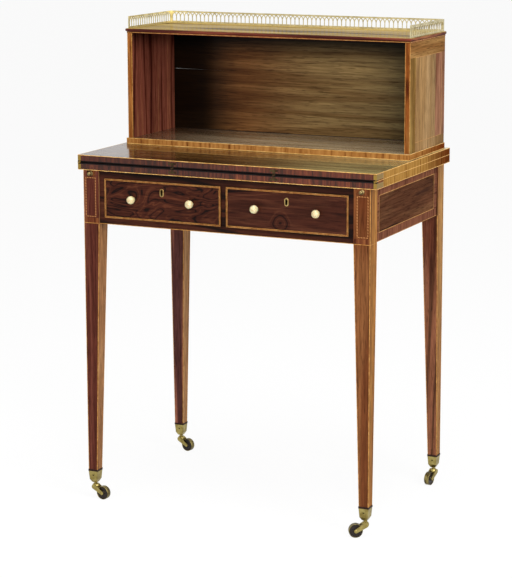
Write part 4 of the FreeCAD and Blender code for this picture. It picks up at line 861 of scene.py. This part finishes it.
# The inner faces are painted darker towards their top: painted shade under the top board.
inner_look = dict(grain=UP, tones=("#602c20", "#a05a46", "#b87450"), shift=(0.4, 0.3, 0), rings=13,
                  length=0.04, darkening=[(UP, 1.0, 0.94, "#9498a0")])
edge_look = dict(grain=UP, tones=("#54200f", "#9a5828", "#b4763c"), rings=6, swirl=0.1, length=0.2)
veneer_looks = {
    "red": dict(grain=UP, tones=("#80543e", "#9b6e54", "#aa8060"), shift=(0.2, 0.6, 0), rings=5,
                length=0.05),
    "olive": dict(grain=UP, tones=("#94703a", "#b89654", "#c4a664"), shift=(0.6, 0.1, 0), rings=5,
                  length=0.05),
    "orange": dict(grain=DEEP, tones=("#c48e50", "#deac68", "#e6b878"), shift=(0.2, 0.1, 0), rings=4,
                   length=0.08),
}
field_front, field_back, field_foot, field_top = 33 * mm, 18 * mm, 19.4 * mm, 32 * mm
red_start = 119 * mm
for name, side in (("left", LEFT), ("right", RIGHT)):
    cover(rosewood("rosewood_stage_" + name, outer_look, {(ACROSS, -side): inner_look, (DEEP, 0): edge_look},
                   shine=0.0), "side_" + name)
    low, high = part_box("side_" + name)
    face = high.x if side > 0 else low.x
    field_low = Vector((face, low.y + field_front, low.z + field_foot))
    field_high = Vector((face, high.y - field_back, high.z - field_top))
    mesh = bmesh.new()
    frame_strips(mesh, field_low, field_high, ACROSS, fine_line, side * proud)
    for x in (low.x - proud, high.x + proud - leaf_line):
        strip(mesh, (x, low.y - proud, low.z), (x + leaf_line, low.y + leaf_line, high.z))
    settle(mesh, "stage_lines_" + name, "table", "golden_rosewood", line_wood)
    mesh = bmesh.new()
    near, far = skin(face, band_proud)
    strip(mesh, (near, field_low.y + red_start, field_low.z + fine_line),
          (far, field_high.y - fine_line, field_high.z - fine_line))
    strip(mesh, (near, field_high.y, field_low.z), (far, high.y, field_high.z))
    strip(mesh, (near, low.y + leaf_line, field_high.z), (far, high.y, high.z), kind=2)
    strip(mesh, (near, low.y + leaf_line, low.z), (far, field_low.y, field_high.z), kind=1)
    settle(mesh, "stage_veneers_" + name, "table", "golden_rosewood",
           *(rosewood(hue + "_stage_veneer_" + name, look, shine=0.0) for hue, look in veneer_looks.items()))

# The back boards are painted darker along their top, as painted shadow of the top board, and towards both
# ends, as painted shade from the two sides.
board_front = dict(grain=ACROSS, tones=("#947446", "#b0925e", "#bca26e"), shift=(0.6, 0.2, 0), rings=4,
                   length=0.05, darkening=[(ACROSS, -0.25, -0.13, "#46484c"), (UP, 0.978, 0.91, "#303030"),
                                       (ACROSS, -0.16, 0.08, "#d4b0a0"), (ACROSS, 0.34, 0.08, "#7c94a0")])
board_back = dict(grain=ACROSS, tones=("#4a2c1c", "#7c5434", "#946c46"), shift=(0.6, 0.5, 0))
cover(rosewood("rosewood_back_boards", board_front, {(DEEP, 1): board_back}), "back_boards")
foot_joint = 1.1 * mm
low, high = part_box("back_boards")
mesh = bmesh.new()
strip(mesh, (low.x, low.y - proud, low.z), (high.x, low.y, low.z + foot_joint))
settle(mesh, "back_foot_joint", "table", "blackened_wood", joint_stain_and_shade)

# ---- Top board
# A board with a rounded nosing over a narrow bed mould, polished so that the gallery shows in it. A line of
# boxwood runs round the bed mould.

nosing = dict(grain=ACROSS, tones=("#4a1c14", "#84402e", "#9c5640"), shift=(0.4, 0.5, 0), rings=7,
              length=0.08)
nosing_end = dict(grain=DEEP, tones=("#6a2c1c", "#a05c38", "#b87848"), rings=7, length=0.2)
board_top = dict(nosing, tones=("#786034", "#b89b54", "#cab26a"))
cover(rosewood("rosewood_top_board", nosing, {(ACROSS, 0): nosing_end, (UP, 1): board_top}, gloss=0.24,
               film=0.2, shine=0.0), "top_board")
low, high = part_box("side_right")
bed_step, bed_line_low, bed_line_high = 0.6 * mm, 0.9 * mm, 2.1 * mm
bed = (Vector((-high.x - bed_step, low.y - bed_step, high.z)), Vector((high.x + bed_step, high.y, high.z)))
mesh = bmesh.new()
round_strips(mesh, bed, high.z + bed_line_low, high.z + bed_line_high, proud)
settle(mesh, "bed_mould_line", "table", "golden_rosewood", line_wood)

# ---- Gallery
# Strips of brass sheet, pierced with a saw into interlaced round arches and burnished.

cover(brass("burnished_sheet_brass", "#ccc096", "#a09468", 0.3, tarnish=0.42), "gallery")

# ---- Room
# A pale floor that keeps a faint shadow, white all round, and four soft lamps: two in front, one at the
# right and one above.

bpy.ops.mesh.primitive_plane_add(size=240)
floor = bpy.context.object
floor.name = "studio_floor"
background_white = 1.0
shadow_share = 0.08
world_light = 0.42


def seen_directly(tree):
    """1 for a ray that shows the room itself: from the camera, in a gloss, or through something clear."""
    camera_ray, glossy_ray, clear_ray = (
        add(tree, "LightPath", out=f"Is {kind} Ray") for kind in ("Camera", "Glossy", "Transmission"))
    mirrored = add(tree, "Math", {0: camera_ray, 1: glossy_ray}, operation="MAXIMUM")
    return add(tree, "Math", {0: mirrored, 1: clear_ray}, operation="MAXIMUM")


material = bpy.data.materials.new("pale_floor")
material.use_nodes = True
tree = material.node_tree
tree.nodes.clear()
share = add(tree, "Math", {0: seen_directly(tree), 1: 1 - shadow_share}, operation="MULTIPLY")
paper = add(tree, "BsdfDiffuse", {"Color": linear("#f6f6f6")})
glow = add(tree, "Emission", {"Color": linear("#ffffff"), "Strength": background_white})
mixed = add(tree, "MixShader", {0: share, 1: paper, 2: glow})
add(tree, "OutputMaterial", {"Surface": mixed})
floor.data.materials.append(material)

world = bpy.data.worlds.new("studio")
bpy.context.scene.world = world
world.use_nodes = True
tree = world.node_tree
tree.nodes.clear()
level = add(tree, "MapRange", {"Value": seen_directly(tree), "To Min": world_light,
                               "To Max": background_white})
sky = add(tree, "Background", {"Color": linear("#ffffff"), "Strength": level})
add(tree, "OutputWorld", {"Surface": sky})

for name, place, size, power in (
    ("lamp_left_front", (-0.9, -3.4, 2.3), 1.8, 20),
    ("lamp_right_front", (1.7, -3.6, 1.5), 1.4, 80),
    ("lamp_right", (3.0, -1.4, 2.0), 1.6, 70),
    ("lamp_top", (0.3, -0.6, 3.4), 1.8, 70),
):
    lamp = bpy.data.objects.new(name, bpy.data.lights.new(name, "AREA"))
    lamp.data.size = size
    lamp.data.energy = power
    lamp.location = place
    aim = Vector((0, 0, 0.6)) - Vector(place)
    lamp.rotation_euler = aim.to_track_quat("-Z", "Y").to_euler()
    bpy.context.scene.collection.objects.link(lamp)

camera = bpy.data.objects.new("camera", bpy.data.cameras.new("camera"))
camera.location = (1.7554, -3.7764, 1.327)
camera.rotation_euler = (math.radians(90 - 10.194), 0, math.radians(24.273))
camera.data.sensor_fit = "VERTICAL"
camera.data.sensor_height = 36
camera.data.lens = 123.14
camera.data.shift_x = -0.054
camera.data.shift_y = -0.1003
bpy.context.scene.collection.objects.link(camera)
bpy.context.scene.camera = camera

bpy.context.scene.view_settings.view_transform = "Standard"
